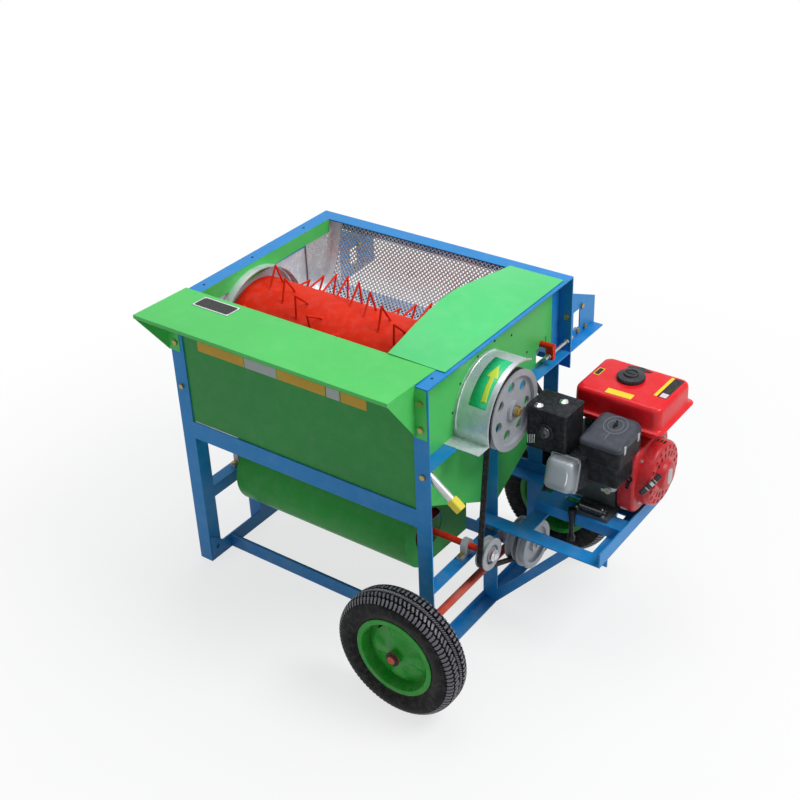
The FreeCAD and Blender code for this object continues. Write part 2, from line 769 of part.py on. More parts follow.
def rear_bracket(x0, flange_x0, flange_x1):
    """Plate with a sloping top, a slot and a flange along its foot."""
    foot = BEARING_TOP
    plate = prism("x", [
        (FRAME_D, foot - IRON_T),
        (BRACKET_Y1, foot - IRON_T),
        (BRACKET_Y1, FRAME_H - BRACKET_END_DROP),
        (FRAME_D, FRAME_H - BRACKET_TOP),
    ], x0, x0 + BRACKET_T)
    slot = box(x0 - CUT, x0 + CUT, FRAME_D + BRACKET_NOTCH,
               FRAME_D + BRACKET_NOTCH + BRACKET_SLOT_W, foot + BRACKET_SLOT_UP,
               foot + BRACKET_SLOT_UP + BRACKET_SLOT_H)
    flange = box(flange_x0, flange_x1, FRAME_D, BRACKET_Y1, foot - IRON_T, foot)
    front = box(flange_x0, flange_x1, FRAME_D, FRAME_D + BRACKET_T, foot + BRACKET_FLANGE_UP,
                FRAME_H - BRACKET_FLANGE_TOP)
    return plate.cut(slot).fuse([flange, front]).removeSplitter()


BRACKET_RIGHT = FRAME_W - BRACKET_OFF - BRACKET_T
parts["rear_brackets"] = [
    rear_bracket(BRACKET_RIGHT, BRACKET_RIGHT, FRAME_W),
    rear_bracket(BRACKET_OFF, 0, BRACKET_OFF),
]

# belt guard, its tongue lying on the bearing rail
guard_drop = BEARING_TOP + SHEET_T * HALF_SHARE - DRUM_Z
guard_end = FULL_TURN * HALF_SHARE + math.degrees(math.asin(-guard_drop / GUARD_R))
GUARD_X0 = XR + SHEET_OUT
guard = arc_band("x", DRUM_Y, DRUM_Z, GUARD_R - SHEET_T, GUARD_R, GUARD_START, guard_end, GUARD_X0,
                 GUARD_X1)
tongue_y, tongue_z = polar(DRUM_Y, DRUM_Z, GUARD_R, guard_end)
tongue = box(GUARD_X0, GUARD_X1, tongue_y - TONGUE, tongue_y + SHEET_T, BEARING_TOP,
             BEARING_TOP + SHEET_T)
bead = arc_band("x", DRUM_Y, DRUM_Z, GUARD_R - SHEET_T, GUARD_R + BEAD_R, GUARD_START,
                guard_end - BEAD_SHORT, GUARD_X1 - BEAD_R, GUARD_X1)
parts["belt_guard"] = [guard.fuse([tongue, bead]).removeSplitter()]

# drum
drum_shell = turned("x", DRUM_Y, DRUM_Z, [
    (DRUM_X0, DRUM_SHAFT_R), (DRUM_X0, DRUM_R), (DRUM_X1, DRUM_R), (DRUM_X1, DRUM_SHAFT_R),
    (DRUM_X1 - DRUM_T, DRUM_SHAFT_R), (DRUM_X1 - DRUM_T, DRUM_R - DRUM_T),
    (DRUM_X0 + DRUM_T, DRUM_R - DRUM_T), (DRUM_X0 + DRUM_T, DRUM_SHAFT_R),
])
parts["drum_shell"] = [drum_shell]
drum_body = rod("x", DRUM_Y, DRUM_Z, DRUM_R, DRUM_X0 - CUT, DRUM_X1 + CUT)
drum_length = DRUM_X1 - DRUM_X0
tooth_space = drum_length - TOOTH_FIRST - TOOTH_MARGIN
tooth_count = int(tooth_space / TOOTH_STEP - HALF_SHARE) + 1


def upright_tooth():
    """Bow of bent rod on the drum's left end, pointing along +Y, square to the drum axis."""
    tip = V(DRUM_X0, DRUM_Y + TOOTH_TIP_R - TOOTH_R, DRUM_Z)
    shapes = [Part.makeSphere(TOOTH_R, tip)]
    for side in (-1, 1):
        foot_y, foot_z = polar(DRUM_Y, DRUM_Z, DRUM_R - TOOTH_SINK, side * TOOTH_SPREAD)
        leg = V(DRUM_X0, foot_y, foot_z) - tip
        shapes.append(Part.makeCylinder(TOOTH_R, leg.Length, tip, leg))
    return shapes[0].fuse(shapes[1:]).cut(drum_body)


first_tooth = upright_tooth()


def tooth(along, angle):
    """Copy of the bow, moved along the drum and turned round its axis."""
    bow = first_tooth.copy()
    bow.translate(V(along, 0, 0))
    bow.rotate(V(0, DRUM_Y, DRUM_Z), DIRECTION["x"], angle)
    return bow


def tooth_row(row):
    """One slanting row of teeth, every second row half a step further along."""
    start = TOOTH_START + FULL_TURN * HALF_SHARE * row / TOOTH_PAIRS
    steps = [step + HALF_SHARE * (row % 2) for step in range(tooth_count)]
    return [tooth(TOOTH_FIRST + TOOTH_STEP * step, start + TOOTH_TWIST * step) for step in steps]


for pair in range(TOOTH_PAIRS):
    parts["drum_teeth_" + "abc"[pair]] = tooth_row(pair) + tooth_row(pair + TOOTH_PAIRS)

shaft_x0 = BLOCK_IN - SHEET_OUT
drum_shaft = rod("x", DRUM_Y, DRUM_Z, DRUM_SHAFT_R, shaft_x0, PULLEY_X1)
shaft_bolt = hexagon("x", DRUM_Y, DRUM_Z, HUB_WALL, PULLEY_X1, PULLEY_X1 + NUT_H)
parts["drum_shaft"] = [drum_shaft.fuse(shaft_bolt)]


def sheave(y, z, radius, bore, x0, holes):
    """Grooved pulley: rim with a slanted groove, web, hub and round web holes."""
    x1 = x0 + PULLEY_W
    middle = (x0 + x1) * HALF_SHARE
    top = BELT_W * HALF_SHARE + BELT_FIT
    low = top - BELT_SLANT
    floor = radius - BELT_DROP - BELT_T - BELT_FIT
    inner = floor - RIM_T
    web0 = middle - WEB_T * HALF_SHARE
    web1 = middle + WEB_T * HALF_SHARE
    hub = bore + HUB_WALL
    if hub + WEB_T > inner:
        profile = [(x0, bore), (x0, radius)]
    else:
        profile = [(x0, bore), (x0, hub), (web0, hub), (web0, inner), (x0, inner), (x0, radius)]
    profile += [(middle - top, radius), (middle - low, floor), (middle + low, floor),
                (middle + top, radius), (x1, radius)]
    if hub + WEB_T > inner:
        profile += [(x1, bore)]
    else:
        profile += [(x1, inner), (web1, inner), (web1, hub), (x1, hub), (x1, bore)]
    body = turned("x", y, z, profile)
    for index in range(holes):
        u, v = polar(y, z, radius * WEB_HOLE_SHARE, WEB_HOLE_START + FULL_TURN * index / holes)
        body = body.cut(rod("x", u, v, WEB_HOLE_R, x0 - CUT, x1 + CUT))
    return body


parts["drum_pulley"] = [sheave(DRUM_Y, DRUM_Z, DRUM_PULLEY_R, DRUM_SHAFT_R, PULLEY_X0, WEB_HOLES)]

# fan rotor
FAN_BLOCK_X0 = FRAME_W - FAN_IRON + BLOCK_IN
fan_shaft = rod("x", FAN_Y, FAN_Z, FAN_SHAFT_R, BLOCK_IN, PULLEY_X1)
fan_bolt = hexagon("x", FAN_Y, FAN_Z, HEAD_R, PULLEY_X1, PULLEY_X1 + NUT_H)
blades = [fan_shaft, fan_bolt]
blade_x0 = FAN_X0 + PANEL_T + FAN_FOOT_W * HALF_SHARE
blade_x1 = FAN_X1 - PANEL_T - FAN_FOOT_W * HALF_SHARE
for index in range(FAN_BLADES):
    blade = box(blade_x0, blade_x1, FAN_Y - PANEL_T * HALF_SHARE, FAN_Y + PANEL_T * HALF_SHARE,
                FAN_Z, FAN_Z + FAN_BLADE_R)
    blade.rotate(V(0, FAN_Y, FAN_Z), DIRECTION["x"], FULL_TURN * index / FAN_BLADES)
    blades.append(blade)
parts["fan_rotor"] = [blades[0].fuse(blades[1:])]
parts["fan_pulley"] = [sheave(FAN_Y, FAN_Z, FAN_PULLEY_R, FAN_SHAFT_R, PULLEY_X0, 0)]

# countershaft with its two pulleys
JACK_X0 = FRAME_W - JACK_X_IN
JACK_OUTER_X0 = FRAME_W + JACK_OUTER_X
jack_shaft = rod("x", JACK_Y, JACK_Z, JACK_SHAFT_R, JACK_X0, JACK_OUTER_X0 + JACK_OUTER_W)
jack_inner = sheave(JACK_Y, JACK_Z, JACK_PULLEY_R, JACK_SHAFT_R, PULLEY_X0, 0)
jack_outer = sheave(JACK_Y, JACK_Z, JACK_OUTER_R, JACK_SHAFT_R, JACK_OUTER_X0, 0)
jack_bolt = hexagon("x", JACK_Y, JACK_Z, HEAD_R, JACK_OUTER_X0 + JACK_OUTER_W,
                    JACK_OUTER_X0 + JACK_OUTER_W + NUT_H)
parts["jackshaft_pulleys"] = [jack_inner, jack_outer, jack_shaft.fuse(jack_bolt)]

# pillow blocks
bolts = []
holes = []


def pillow(x0, width, y, seat, z, bore, thick, length):
    """Pillow block standing on a flange at height seat, with two bolts."""
    wall = bore + thick
    body = box(x0, x0 + width, y - length * HALF_SHARE, y + length * HALF_SHARE, seat,
               seat + BLOCK_FOOT)
    neck = box(x0, x0 + width, y - wall, y + wall, seat, z)
    barrel = rod("x", y, z, wall, x0, x0 + width)
    body = body.fuse([neck, barrel]).cut(rod("x", y, z, bore + RUN, x0 - CUT, x0 + width + CUT))
    for side in (-1, 1):
        made, hole = bolt("z", x0 + width * HALF_SHARE, y + side * length * BLOCK_BOLT_SHARE,
                          seat + BLOCK_FOOT, 1, BLOCK_FOOT + IRON_T)
        bolts.append(made)
        holes.append(hole)
    return body.removeSplitter()


RIGHT_BLOCK_X = FRAME_W - BLOCK_IN - BLOCK_W
jack_y0 = MIDDLE_POST_RIGHT_Y + IRON_T
jack_x0 = FRAME_W - JACK_X_IN + IRON_T
jack_x1 = FRAME_W + JACK_SLEEVE
jack_wall = JACK_SHAFT_R + JACK_WALL
jack_foot = box(jack_x0, FRAME_W, jack_y0, jack_y0 + BLOCK_FOOT,
                JACK_Z - JACK_BLOCK_LONG * HALF_SHARE, JACK_Z + JACK_BLOCK_LONG * HALF_SHARE)
jack_neck = box(jack_x0, FRAME_W, jack_y0, JACK_Y, JACK_Z - jack_wall, JACK_Z + jack_wall)
jack_barrel = rod("x", JACK_Y, JACK_Z, jack_wall, jack_x0, jack_x1)
jack_bore = rod("x", JACK_Y, JACK_Z, JACK_SHAFT_R + RUN, jack_x0 - CUT, jack_x1 + CUT)
jack_block = jack_foot.fuse([jack_neck, jack_barrel]).cut(jack_bore).removeSplitter()
for side in (-1, 1):
    made, hole = bolt("y", (jack_x0 + FRAME_W) * HALF_SHARE,
                      JACK_Z + side * JACK_BLOCK_LONG * BLOCK_BOLT_SHARE, jack_y0 + BLOCK_FOOT, 1,
                      BLOCK_FOOT + IRON_T)
    bolts.append(made)
    holes.append(hole)
parts["bearings"] = [
    pillow(BLOCK_IN, BLOCK_W, DRUM_Y, BEARING_TOP, DRUM_Z, DRUM_SHAFT_R, BLOCK_WALL, BLOCK_LONG),
    pillow(RIGHT_BLOCK_X, BLOCK_W, DRUM_Y, BEARING_TOP, DRUM_Z, DRUM_SHAFT_R, BLOCK_WALL, BLOCK_LONG),
    pillow(FAN_IRON - BLOCK_IN - FAN_BLOCK_W, FAN_BLOCK_W, FAN_Y, FAN_RAIL_TOP, FAN_Z, FAN_SHAFT_R,
           FAN_BLOCK_WALL, FAN_BLOCK_LONG),
    pillow(FAN_BLOCK_X0, FAN_BLOCK_W, FAN_Y, FAN_RAIL_TOP, FAN_Z, FAN_SHAFT_R, FAN_BLOCK_WALL,
           FAN_BLOCK_LONG),
    jack_block,
]

# one belt round all four pulleys
stops = [
    (DRUM_Y, DRUM_Z, DRUM_PULLEY_R - BELT_DROP),
    (FAN_Y, FAN_Z, FAN_PULLEY_R - BELT_DROP),
    (JACK_Y, JACK_Z, JACK_PULLEY_R - BELT_DROP),
    (CRANK_Y, CRANK_Z, ENGINE_PULLEY_R - BELT_DROP),
]


def belt_section(y, z, angle):
    """Slanted cross section of the belt, its back at y, z facing the angle."""
    deep_y, deep_z = polar(y, z, -BELT_T, angle)
    half = BELT_W * HALF_SHARE
    low = half - BELT_SLANT
    points = [V(BELT_X - half, y, z), V(BELT_X + half, y, z),
              V(BELT_X + low, deep_y, deep_z), V(BELT_X - low, deep_y, deep_z)]
    return Part.Face(Part.makePolygon(points + points[:1]))


turns = []
for index, (y, z, radius) in enumerate(stops):
    next_y, next_z, next_r = stops[(index + 1) % len(stops)]
    span = math.hypot(next_y - y, next_z - z)
    heading = math.degrees(math.atan2(next_z - z, next_y - y))
    turns.append(heading - math.degrees(math.acos((radius - next_r) / span)))
belt = []
for index, (y, z, radius) in enumerate(stops):
    arrive = turns[index - 1]
    leave = turns[index]
    sweep = (leave - arrive) % FULL_TURN
    start_y, start_z = polar(y, z, radius, arrive)
    belt.append(belt_section(start_y, start_z, arrive).revolve(V(0, y, z), DIRECTION["x"], sweep))
    leave_y, leave_z = polar(y, z, radius, leave)
    next_y, next_z, next_r = stops[(index + 1) % len(stops)]
    reach_y, reach_z = polar(next_y, next_z, next_r, leave)
    section = belt_section(leave_y, leave_z, leave)
    belt.append(section.extrude(V(0, reach_y - leave_y, reach_z - leave_z)))
parts["main_belt"] = [belt[0].fuse(belt[1:]).removeSplitter()]

# engine
EX = FRAME_W
crank_case = round_box("x", CASE_ROUND, EX + ENGINE_X0, EX + ENGINE_X1, CRANK_Y - CASE_FRONT,
                       CRANK_Y + CASE_BACK, channel_top + FOOT_T, CRANK_Z + CASE_TOP)
foot = box(EX + FOOT_X0, EX + FOOT_X1, CRANK_Y - FOOT_FRONT, CRANK_Y + FOOT_BACK, channel_top,
           channel_top + FOOT_T)
cylinder = box(EX + CYL_X0, EX + CYL_X1, CRANK_Y - CYL_TO, CRANK_Y - CYL_FROM, CRANK_Z - CYL_HIGH,
               CRANK_Z + CYL_HIGH)
fins = []
for index in range(FIN_COUNT):
    y1 = CRANK_Y - FIN_FIRST - FIN_STEP * index
    slab = box(EX, EX + CYL_X1 + CUT, y1 - FIN_GAP, y1, CRANK_Z - CYL_HIGH - CUT,
               CRANK_Z + CYL_HIGH + CUT)
    core = box(EX + CYL_X0 + FIN_DEEP, EX + CYL_X1 - FIN_DEEP, y1 - FIN_GAP - CUT, y1 + CUT,
               CRANK_Z - CYL_HIGH + FIN_DEEP, CRANK_Z + CYL_HIGH - FIN_DEEP)
    fins.append(slab.cut(core))
cylinder = cylinder.cut(fins[0].fuse(fins[1:]))
cover = round_box("y", COVER_ROUND, EX + COVER_X0, EX + COVER_X1, CRANK_Y - CYL_TO - COVER_LONG,
                  CRANK_Y - CYL_TO, CRANK_Z - COVER_HIGH, CRANK_Z + COVER_HIGH)
for shape in (cylinder, cover):
    shape.rotate(V(0, CRANK_Y, CRANK_Z), DIRECTION["x"], -TILT)
seat_bore = rod("x", CRANK_Y, CRANK_Z, CRANK_R + RUN, PULLEY_X0, EX + ENGINE_X0 + BLOCK_W)
stands = [box(x, x + BRACKET_POST_W, CRANK_Y - BRACKET_POST_W, CRANK_Y + BRACKET_POST_LONG,
              CRANK_Z + CASE_TOP - CASE_ROUND, CRANK_Z + TANK_LOW_UP)
          for x in (EX + CYL_X0, EX + CYL_X1 - BRACKET_POST_W)]
engine_block = crank_case.fuse([foot, cylinder] + stands).cut(seat_bore)
parts["engine_block"] = [engine_block.removeSplitter()]
parts["valve_cover"] = [cover]
envelope = box(EX, EX + CYL_X1 + GAP, CRANK_Y - CYL_TO - COVER_LONG - CUT, CRANK_Y,
               CRANK_Z - COVER_HIGH, CRANK_Z + COVER_HIGH + GAP)
envelope = envelope.cut(box(EX - CUT, EX + COVER_X0 - GAP, CRANK_Y - CYL_TO - COVER_LONG - CUT - CUT,
                            CRANK_Y + CUT, CRANK_Z - COVER_HIGH - CUT, CRANK_Z + COVER_HIGH + CUT))
envelope.rotate(V(0, CRANK_Y, CRANK_Z), DIRECTION["x"], -TILT)
muffler = round_box("z", MUFFLER_ROUND, EX + MUFFLER_X0, EX + MUFFLER_X1, CRANK_Y - MUFFLER_Y0,
                    CRANK_Y - MUFFLER_Y1, CRANK_Z + MUFFLER_Z0, CRANK_Z + MUFFLER_Z1)
outlet_x = EX + (MUFFLER_X0 + MUFFLER_X1) * HALF_SHARE
outlet_z = CRANK_Z + (MUFFLER_Z0 + MUFFLER_Z1) * HALF_SHARE
outlet = ring("y", outlet_x, outlet_z, OUTLET_R - PANEL_T, OUTLET_R,
              CRANK_Y - MUFFLER_Y0 - OUTLET_LONG, CRANK_Y - MUFFLER_Y0)
parts["muffler"] = [muffler.cut(envelope).fuse(outlet)]
air_top = round_box("z", AIR_ROUND, EX + AIR_X0, EX + AIR_X1, CRANK_Y - AIR_Y0, CRANK_Y - AIR_Y1,
                    CRANK_Z + AIR_STEP, CRANK_Z + AIR_Z1)
air_low = round_box("z", AIR_ROUND, EX + AIR_LOW_X0, EX + AIR_X1, CRANK_Y - AIR_Y0,
                    CRANK_Y - AIR_Y1, CRANK_Z + AIR_Z0, CRANK_Z + AIR_STEP + AIR_ROUND)
shroud_zone = box(EX + SHROUD_X0 - GAP, EX + SHROUD_X1 + CUT, CRANK_Y - SHROUD_FRONT - GAP,
                  CRANK_Y + CUT, CRANK_Z - CUT, CRANK_Z + SHROUD_HIGH + GAP)
case_zone = box(EX, EX + ENGINE_X1 + GAP, CRANK_Y - CASE_FRONT - GAP, CRANK_Y, CRANK_Z,
                CRANK_Z + CASE_TOP + GAP)
air_y0 = CRANK_Y - AIR_Y0 - CUT
air_y1 = CRANK_Y - AIR_Y1 + CUT
air_z1 = CRANK_Z + AIR_Z1
above = prism("x", [(air_y0, air_z1 - AIR_DROP), (air_y1, air_z1), (air_y1, air_z1 + CUT),
                    (air_y0, air_z1 + CUT)], EX + AIR_X0 - CUT, EX + AIR_X1 + CUT)
air_case = air_top.fuse(air_low).cut([shroud_zone, case_zone, above])
parts["air_cleaner"] = [air_case.removeSplitter()]
carburettor = box(EX + CARB_X0, EX + CARB_X1, CRANK_Y - CARB_Y0, CRANK_Y - CARB_Y1 - GAP,
                  CRANK_Z + CARB_Z0, CRANK_Z + AIR_Z0)
tank_x0 = EX + TANK_X0
tank_x1 = EX + TANK_X1
tank_y0 = CRANK_Y - TANK_FRONT
tank_y1 = CRANK_Y + TANK_BACK
tank = box(tank_x0, tank_x1, tank_y0, tank_y1, CRANK_Z + TANK_LOW_UP, CRANK_Z + TANK_TOP_UP)
tank = tank.makeFillet(TANK_ROUND, upright_edges(tank, "z"))
top_edges = [edge for edge in tank.Edges
             if edge.BoundBox.ZMin > CRANK_Z + TANK_TOP_UP - GAP]
tank = tank.makeFillet(TANK_EDGE, top_edges)
rim = round_box("z", TANK_ROUND, tank_x0 - TANK_RIM, tank_x1 + TANK_RIM, tank_y0 - TANK_RIM,
                tank_y1 + TANK_RIM, CRANK_Z + TANK_RIM_UP, CRANK_Z + TANK_RIM_UP + TANK_RIM_T)
cap_x = EX + CAP_X
cap_y = CRANK_Y + CAP_BACK
cap_z = CRANK_Z + TANK_TOP_UP
neck = rod("z", cap_x, cap_y, NECK_R, cap_z - TANK_RIM_T, cap_z + NECK_H)
parts["fuel_tank"] = [tank.fuse([rim, neck])]
cap_hole = rod("z", cap_x, cap_y, NECK_R + GAP, cap_z - CUT, cap_z + NECK_H + GAP)
parts["fuel_cap"] = [rod("z", cap_x, cap_y, CAP_R, cap_z + GAP, cap_z + CAP_H).cut(cap_hole)]
shroud = round_box("x", SHROUD_ROUND, EX + SHROUD_X0, EX + SHROUD_X1, CRANK_Y - SHROUD_FRONT,
                   CRANK_Y + SHROUD_BACK, CRANK_Z - SHROUD_LOW, CRANK_Z + SHROUD_HIGH)
recoil = rod("x", CRANK_Y, CRANK_Z, RECOIL_R, EX + SHROUD_X1, EX + RECOIL_STEP)
recoil_cap = rod("x", CRANK_Y, CRANK_Z, RECOIL_HUB_R, EX + RECOIL_STEP, EX + RECOIL_X1)
slope = math.radians(GRIP_SLOPE)
lean = math.radians(GRIP_LEAN)
pull = V(0, -math.cos(slope), math.sin(slope))
grip_way = V(-math.sin(lean), -math.cos(lean) * math.sin(slope), -math.cos(lean) * math.cos(slope))
grip_at = V(EX + GRIP_X, CRANK_Y - GRIP_FRONT, CRANK_Z + GRIP_UP)
boss = Part.makeCylinder(BOSS_R, BOSS_LONG, grip_at - pull * (GRIP_STEM + GRIP_GAP), pull * -1)
stem = Part.makeCylinder(GRIP_STEM_R, GRIP_STEM, grip_at, pull * -1)
grip = Part.makeCylinder(GRIP_R, GRIP_LONG, grip_at - grip_way * (GRIP_LONG * HALF_SHARE), grip_way)
parts["starter_handle"] = [stem.fuse(grip)]
crank = rod("x", CRANK_Y, CRANK_Z, CRANK_R, PULLEY_X0, EX + ENGINE_X0 + BLOCK_W - GAP)
parts["engine_pulley"] = [sheave(CRANK_Y, CRANK_Z, ENGINE_PULLEY_R, CRANK_R, PULLEY_X0, 0), crank]


def lever(x, y, z, length, angle):
    """Flat lever with a round eye, turning about Y on a pin."""
    arm = box(x, x + length, y - LEVER_T, y, z - LEVER_W * HALF_SHARE, z + LEVER_W * HALF_SHARE)
    body = arm.fuse(rod("y", x, z, LEVER_W, y - LEVER_T, y))
    body.rotate(V(x, y, z), DIRECTION["y"], angle)
    return body.cut(rod("y", x, z, LEVER_PIN_R + RUN, y - CUT, y + CUT)).removeSplitter()


lever_y = CRANK_Y - SHROUD_FRONT - GAP
choke_y = CRANK_Y - CARB_Y0 - GAP
throttle_x = EX + LEVER_X
throttle_z = CRANK_Z + LEVER_UP
parts["throttle_lever"] = [lever(throttle_x, lever_y, throttle_z, LEVER_LONG, LEVER_REST)]
throttle_pin = rod("y", throttle_x, throttle_z, LEVER_PIN_R, lever_y - LEVER_T - GAP,
                   CRANK_Y - SHROUD_FRONT)
parts["recoil_cover"] = [
    shroud.fuse([recoil, recoil_cap, boss, throttle_pin]).removeSplitter()]
choke_x = EX + CHOKE_X
pins = []
for name, up, length in (("choke_lever", CHOKE_UP, CHOKE_LONG), ("fuel_tap", TAP_UP, TAP_LONG)):
    parts[name] = [lever(choke_x, choke_y, CRANK_Z + up, length, FULL_TURN * HALF_SHARE)]
    pins.append(rod("y", choke_x, CRANK_Z + up, LEVER_PIN_R, choke_y - LEVER_T - GAP,
                    CRANK_Y - CARB_Y0))
parts["carburettor"] = [carburettor.fuse(pins)]

# wheels on one fixed axle
tyre_half = WHEEL_W * HALF_SHARE


def tyre(y):
    """Tyre with a crowned tread, seated on the rim."""
    return turned("y", AXLE_X, AXLE_Z, [
        (y - RIM_HALF + RIM_WALL, WHEEL_BEAD_R), (y - RIM_HALF + RIM_WALL, RIM_FLANGE_R),
        (y - tyre_half, RIM_FLANGE_R + TYRE_CHEEK),
        (y - tyre_half, WHEEL_R - TREAD_DROP - TYRE_CHEEK),
        (y - tyre_half + TREAD_DROP * HALF_SHARE, WHEEL_R - TREAD_DROP), (y - TREAD_EDGE, WHEEL_R),
        (y + TREAD_EDGE, WHEEL_R), (y + tyre_half - TREAD_DROP * HALF_SHARE, WHEEL_R - TREAD_DROP),
        (y + tyre_half, WHEEL_R - TREAD_DROP - TYRE_CHEEK),
        (y + tyre_half, RIM_FLANGE_R + TYRE_CHEEK),
        (y + RIM_HALF - RIM_WALL, RIM_FLANGE_R), (y + RIM_HALF - RIM_WALL, WHEEL_BEAD_R),
    ])


def wheel_rim(y, outward):
    """Pressed rim with a disc and a hub tube."""
    inner = WHEEL_BEAD_R - RIM_WALL
    disc = y + outward * DISH_Y
    low = min(disc, disc + outward * RIM_WALL)
    high = max(disc, disc + outward * RIM_WALL)
    barrel = turned("y", AXLE_X, AXLE_Z, [
        (y - RIM_HALF, inner), (y - RIM_HALF, RIM_FLANGE_R), (y - RIM_HALF + RIM_WALL, RIM_FLANGE_R),
        (y - RIM_HALF + RIM_WALL, WHEEL_BEAD_R), (y + RIM_HALF - RIM_WALL, WHEEL_BEAD_R),
        (y + RIM_HALF - RIM_WALL, RIM_FLANGE_R), (y + RIM_HALF, RIM_FLANGE_R), (y + RIM_HALF, inner),
    ])
    disc_plate = rod("y", AXLE_X, AXLE_Z, inner + RIM_WALL * HALF_SHARE, low, high)
    hub = rod("y", AXLE_X, AXLE_Z, HUB_R, y - HUB_HALF, y + HUB_HALF)
    bore = rod("y", AXLE_X, AXLE_Z, AXLE_R + RUN, y - HUB_HALF - CUT, y + HUB_HALF + CUT)
    return barrel.fuse([disc_plate, hub]).cut(bore).removeSplitter()


wheel_places = {"front": (-FRONT_WHEEL_Y, -1), "rear": (FRAME_D - REAR_WHEEL_BACK, 1)}
collars = []
for name, (y, outward) in wheel_places.items():
    parts[name + "_tyre"] = [tyre(y)]
    parts[name + "_rim"] = [wheel_rim(y, outward)]
    for side in (-1, 1):
        face = y + side * (HUB_HALF + GAP)
        collars.append(rod("y", AXLE_X, AXLE_Z, WASHER_R, min(face, face + side * WASHER_T),
                           max(face, face + side * WASHER_T)))
axle_out = HUB_HALF + GAP + WASHER_T + AXLE_TAIL
axle = rod("y", AXLE_X, AXLE_Z, AXLE_R, -FRONT_WHEEL_Y - axle_out,
           FRAME_D - REAR_WHEEL_BACK + axle_out)
parts["wheel_axle"] = [axle.fuse(collars)]

# carry handles that swing on bolts through the corner irons


def handle(name, x, y, tilt, head_y, toward):
    """Tube with a grip on its end, bored for its pivot bolt and hung on a leg."""
    tube = ring("x", y, HANDLE_Z, HANDLE_R - TUBE_WALL, HANDLE_R, x - HANDLE_R, x + HANDLE_LONG)
    tube = tube.cut(rod("y", x, HANDLE_Z, SHANK_R + RUN, y - CUT, y + CUT))
    sleeve = rod("x", y, HANDLE_Z, GRIP_TUBE_R, x + HANDLE_LONG - GRIP_TUBE,
                 x + HANDLE_LONG + PANEL_T).cut(tube)
    for shape in (tube, sleeve):
        shape.rotate(V(x, y, HANDLE_Z), DIRECTION["y"], tilt)
    parts[name] = [tube, sleeve]
    made, hole = bolt("y", x, HANDLE_Z, head_y, toward, abs(y - head_y) + HANDLE_R + GAP)
    bolts.append(made)
    holes.append(hole)


RIGHT_PIVOT = FRAME_W - HANDLE_IN
handle("front_right_handle", RIGHT_PIVOT, HANDLE_Y, HANDLE_DROOP, 0, -1)
handle("front_left_handle", HANDLE_IN, HANDLE_Y, QUARTER, 0, -1)
handle("rear_left_handle", HANDLE_IN, FRAME_D - HANDLE_Y, QUARTER, FRAME_D, 1)

# concave adjuster: cranked rod and the screw that turns it
ADJUST_X = FRAME_W - ADJUST_OUT
screw_z = ADJUST_Z - SCREW_DROP
lug = box(ADJUST_X - LUG_X * HALF_SHARE, ADJUST_X + LUG_X * HALF_SHARE, ADJUST_Y - LUG_Y * HALF_SHARE,
          ADJUST_Y + LUG_Y * HALF_SHARE, ADJUST_Z - LUG_DROP, ADJUST_Z)
lug = lug.cut(rod("y", ADJUST_X, screw_z, LUG_HOLE_R, ADJUST_Y - CUT, ADJUST_Y + CUT))
turn_rod = rod("x", ADJUST_Y, ADJUST_Z, ADJUST_R, FRAME_W - ADJUST_IN, ADJUST_X + LUG_X * HALF_SHARE)
parts["concave_lever"] = [turn_rod.fuse(lug).removeSplitter()]
screw = rod("y", ADJUST_X, screw_z, SCREW_R, ADJUST_Y - SCREW_FRONT, FRAME_D + SCREW_TAIL)
half_lug = LUG_Y * HALF_SHARE + NUT_GAP
nut_places = [
    ADJUST_Y - half_lug - NUT_H,
    ADJUST_Y + half_lug,
    FRAME_D - IRON_T - POST_NUT_GAP - NUT_H,
    FRAME_D + BRACKET_T + POST_NUT_GAP,
]
nuts = [hexagon("y", ADJUST_X, screw_z, HEAD_R, y, y + NUT_H) for y in nut_places]
parts["adjuster_screw"] = [screw.fuse(nuts)]
screw_hole = rod("y", ADJUST_X, screw_z, SCREW_R + GAP, FRAME_D - CUT, FRAME_D + CUT)
for name in ("rear_right_post", "rear_brackets"):
    parts[name] = [shape.cut(screw_hole) for shape in parts[name]]

# remaining bolts
for drop in TABLE_BOLT_DROPS:
    for x in (TABLE_BOLT_IN, FRAME_W - TABLE_BOLT_IN):
        made, hole = bolt("y", x, FRAME_H - drop, -SHEET_T, -1, SHEET_T + IRON_T)
        bolts.append(made)
        holes.append(hole)
post_bolts = [(POST_BOLT_IN, up) for up in POST_BOLT_UPS] + [(FRAME_W - POST_BOLT_IN, POST_BOLT_UPS[1])]
for x, up in post_bolts:
    made, hole = bolt("y", x, BEARING_TOP + up, FRAME_D - IRON_T, -1, IRON_T + BRACKET_T)
    bolts.append(made)
    holes.append(hole)
for back, up in BRACKET_BOLTS:
    for face, toward in ((BRACKET_OFF, -1), (FRAME_W - BRACKET_OFF, 1)):
        made, hole = bolt("x", FRAME_D + back, BEARING_TOP + up, face, toward, BRACKET_T)
        bolts.append(made)
        holes.append(hole)
parts["frame_bolts"] = bolts
bolted = ["front_left_leg", "front_right_leg", "rear_left_leg", "rear_right_post", "middle_posts",
          "side_rails", "feed_table", "rear_brackets", "bearings"]
for name in bolted:
    drilled = []
    for shape in parts[name]:
        for hole in holes:
            if near(shape, hole):
                shape = shape.cut(hole)
        drilled.append(shape)
    parts[name] = drilled

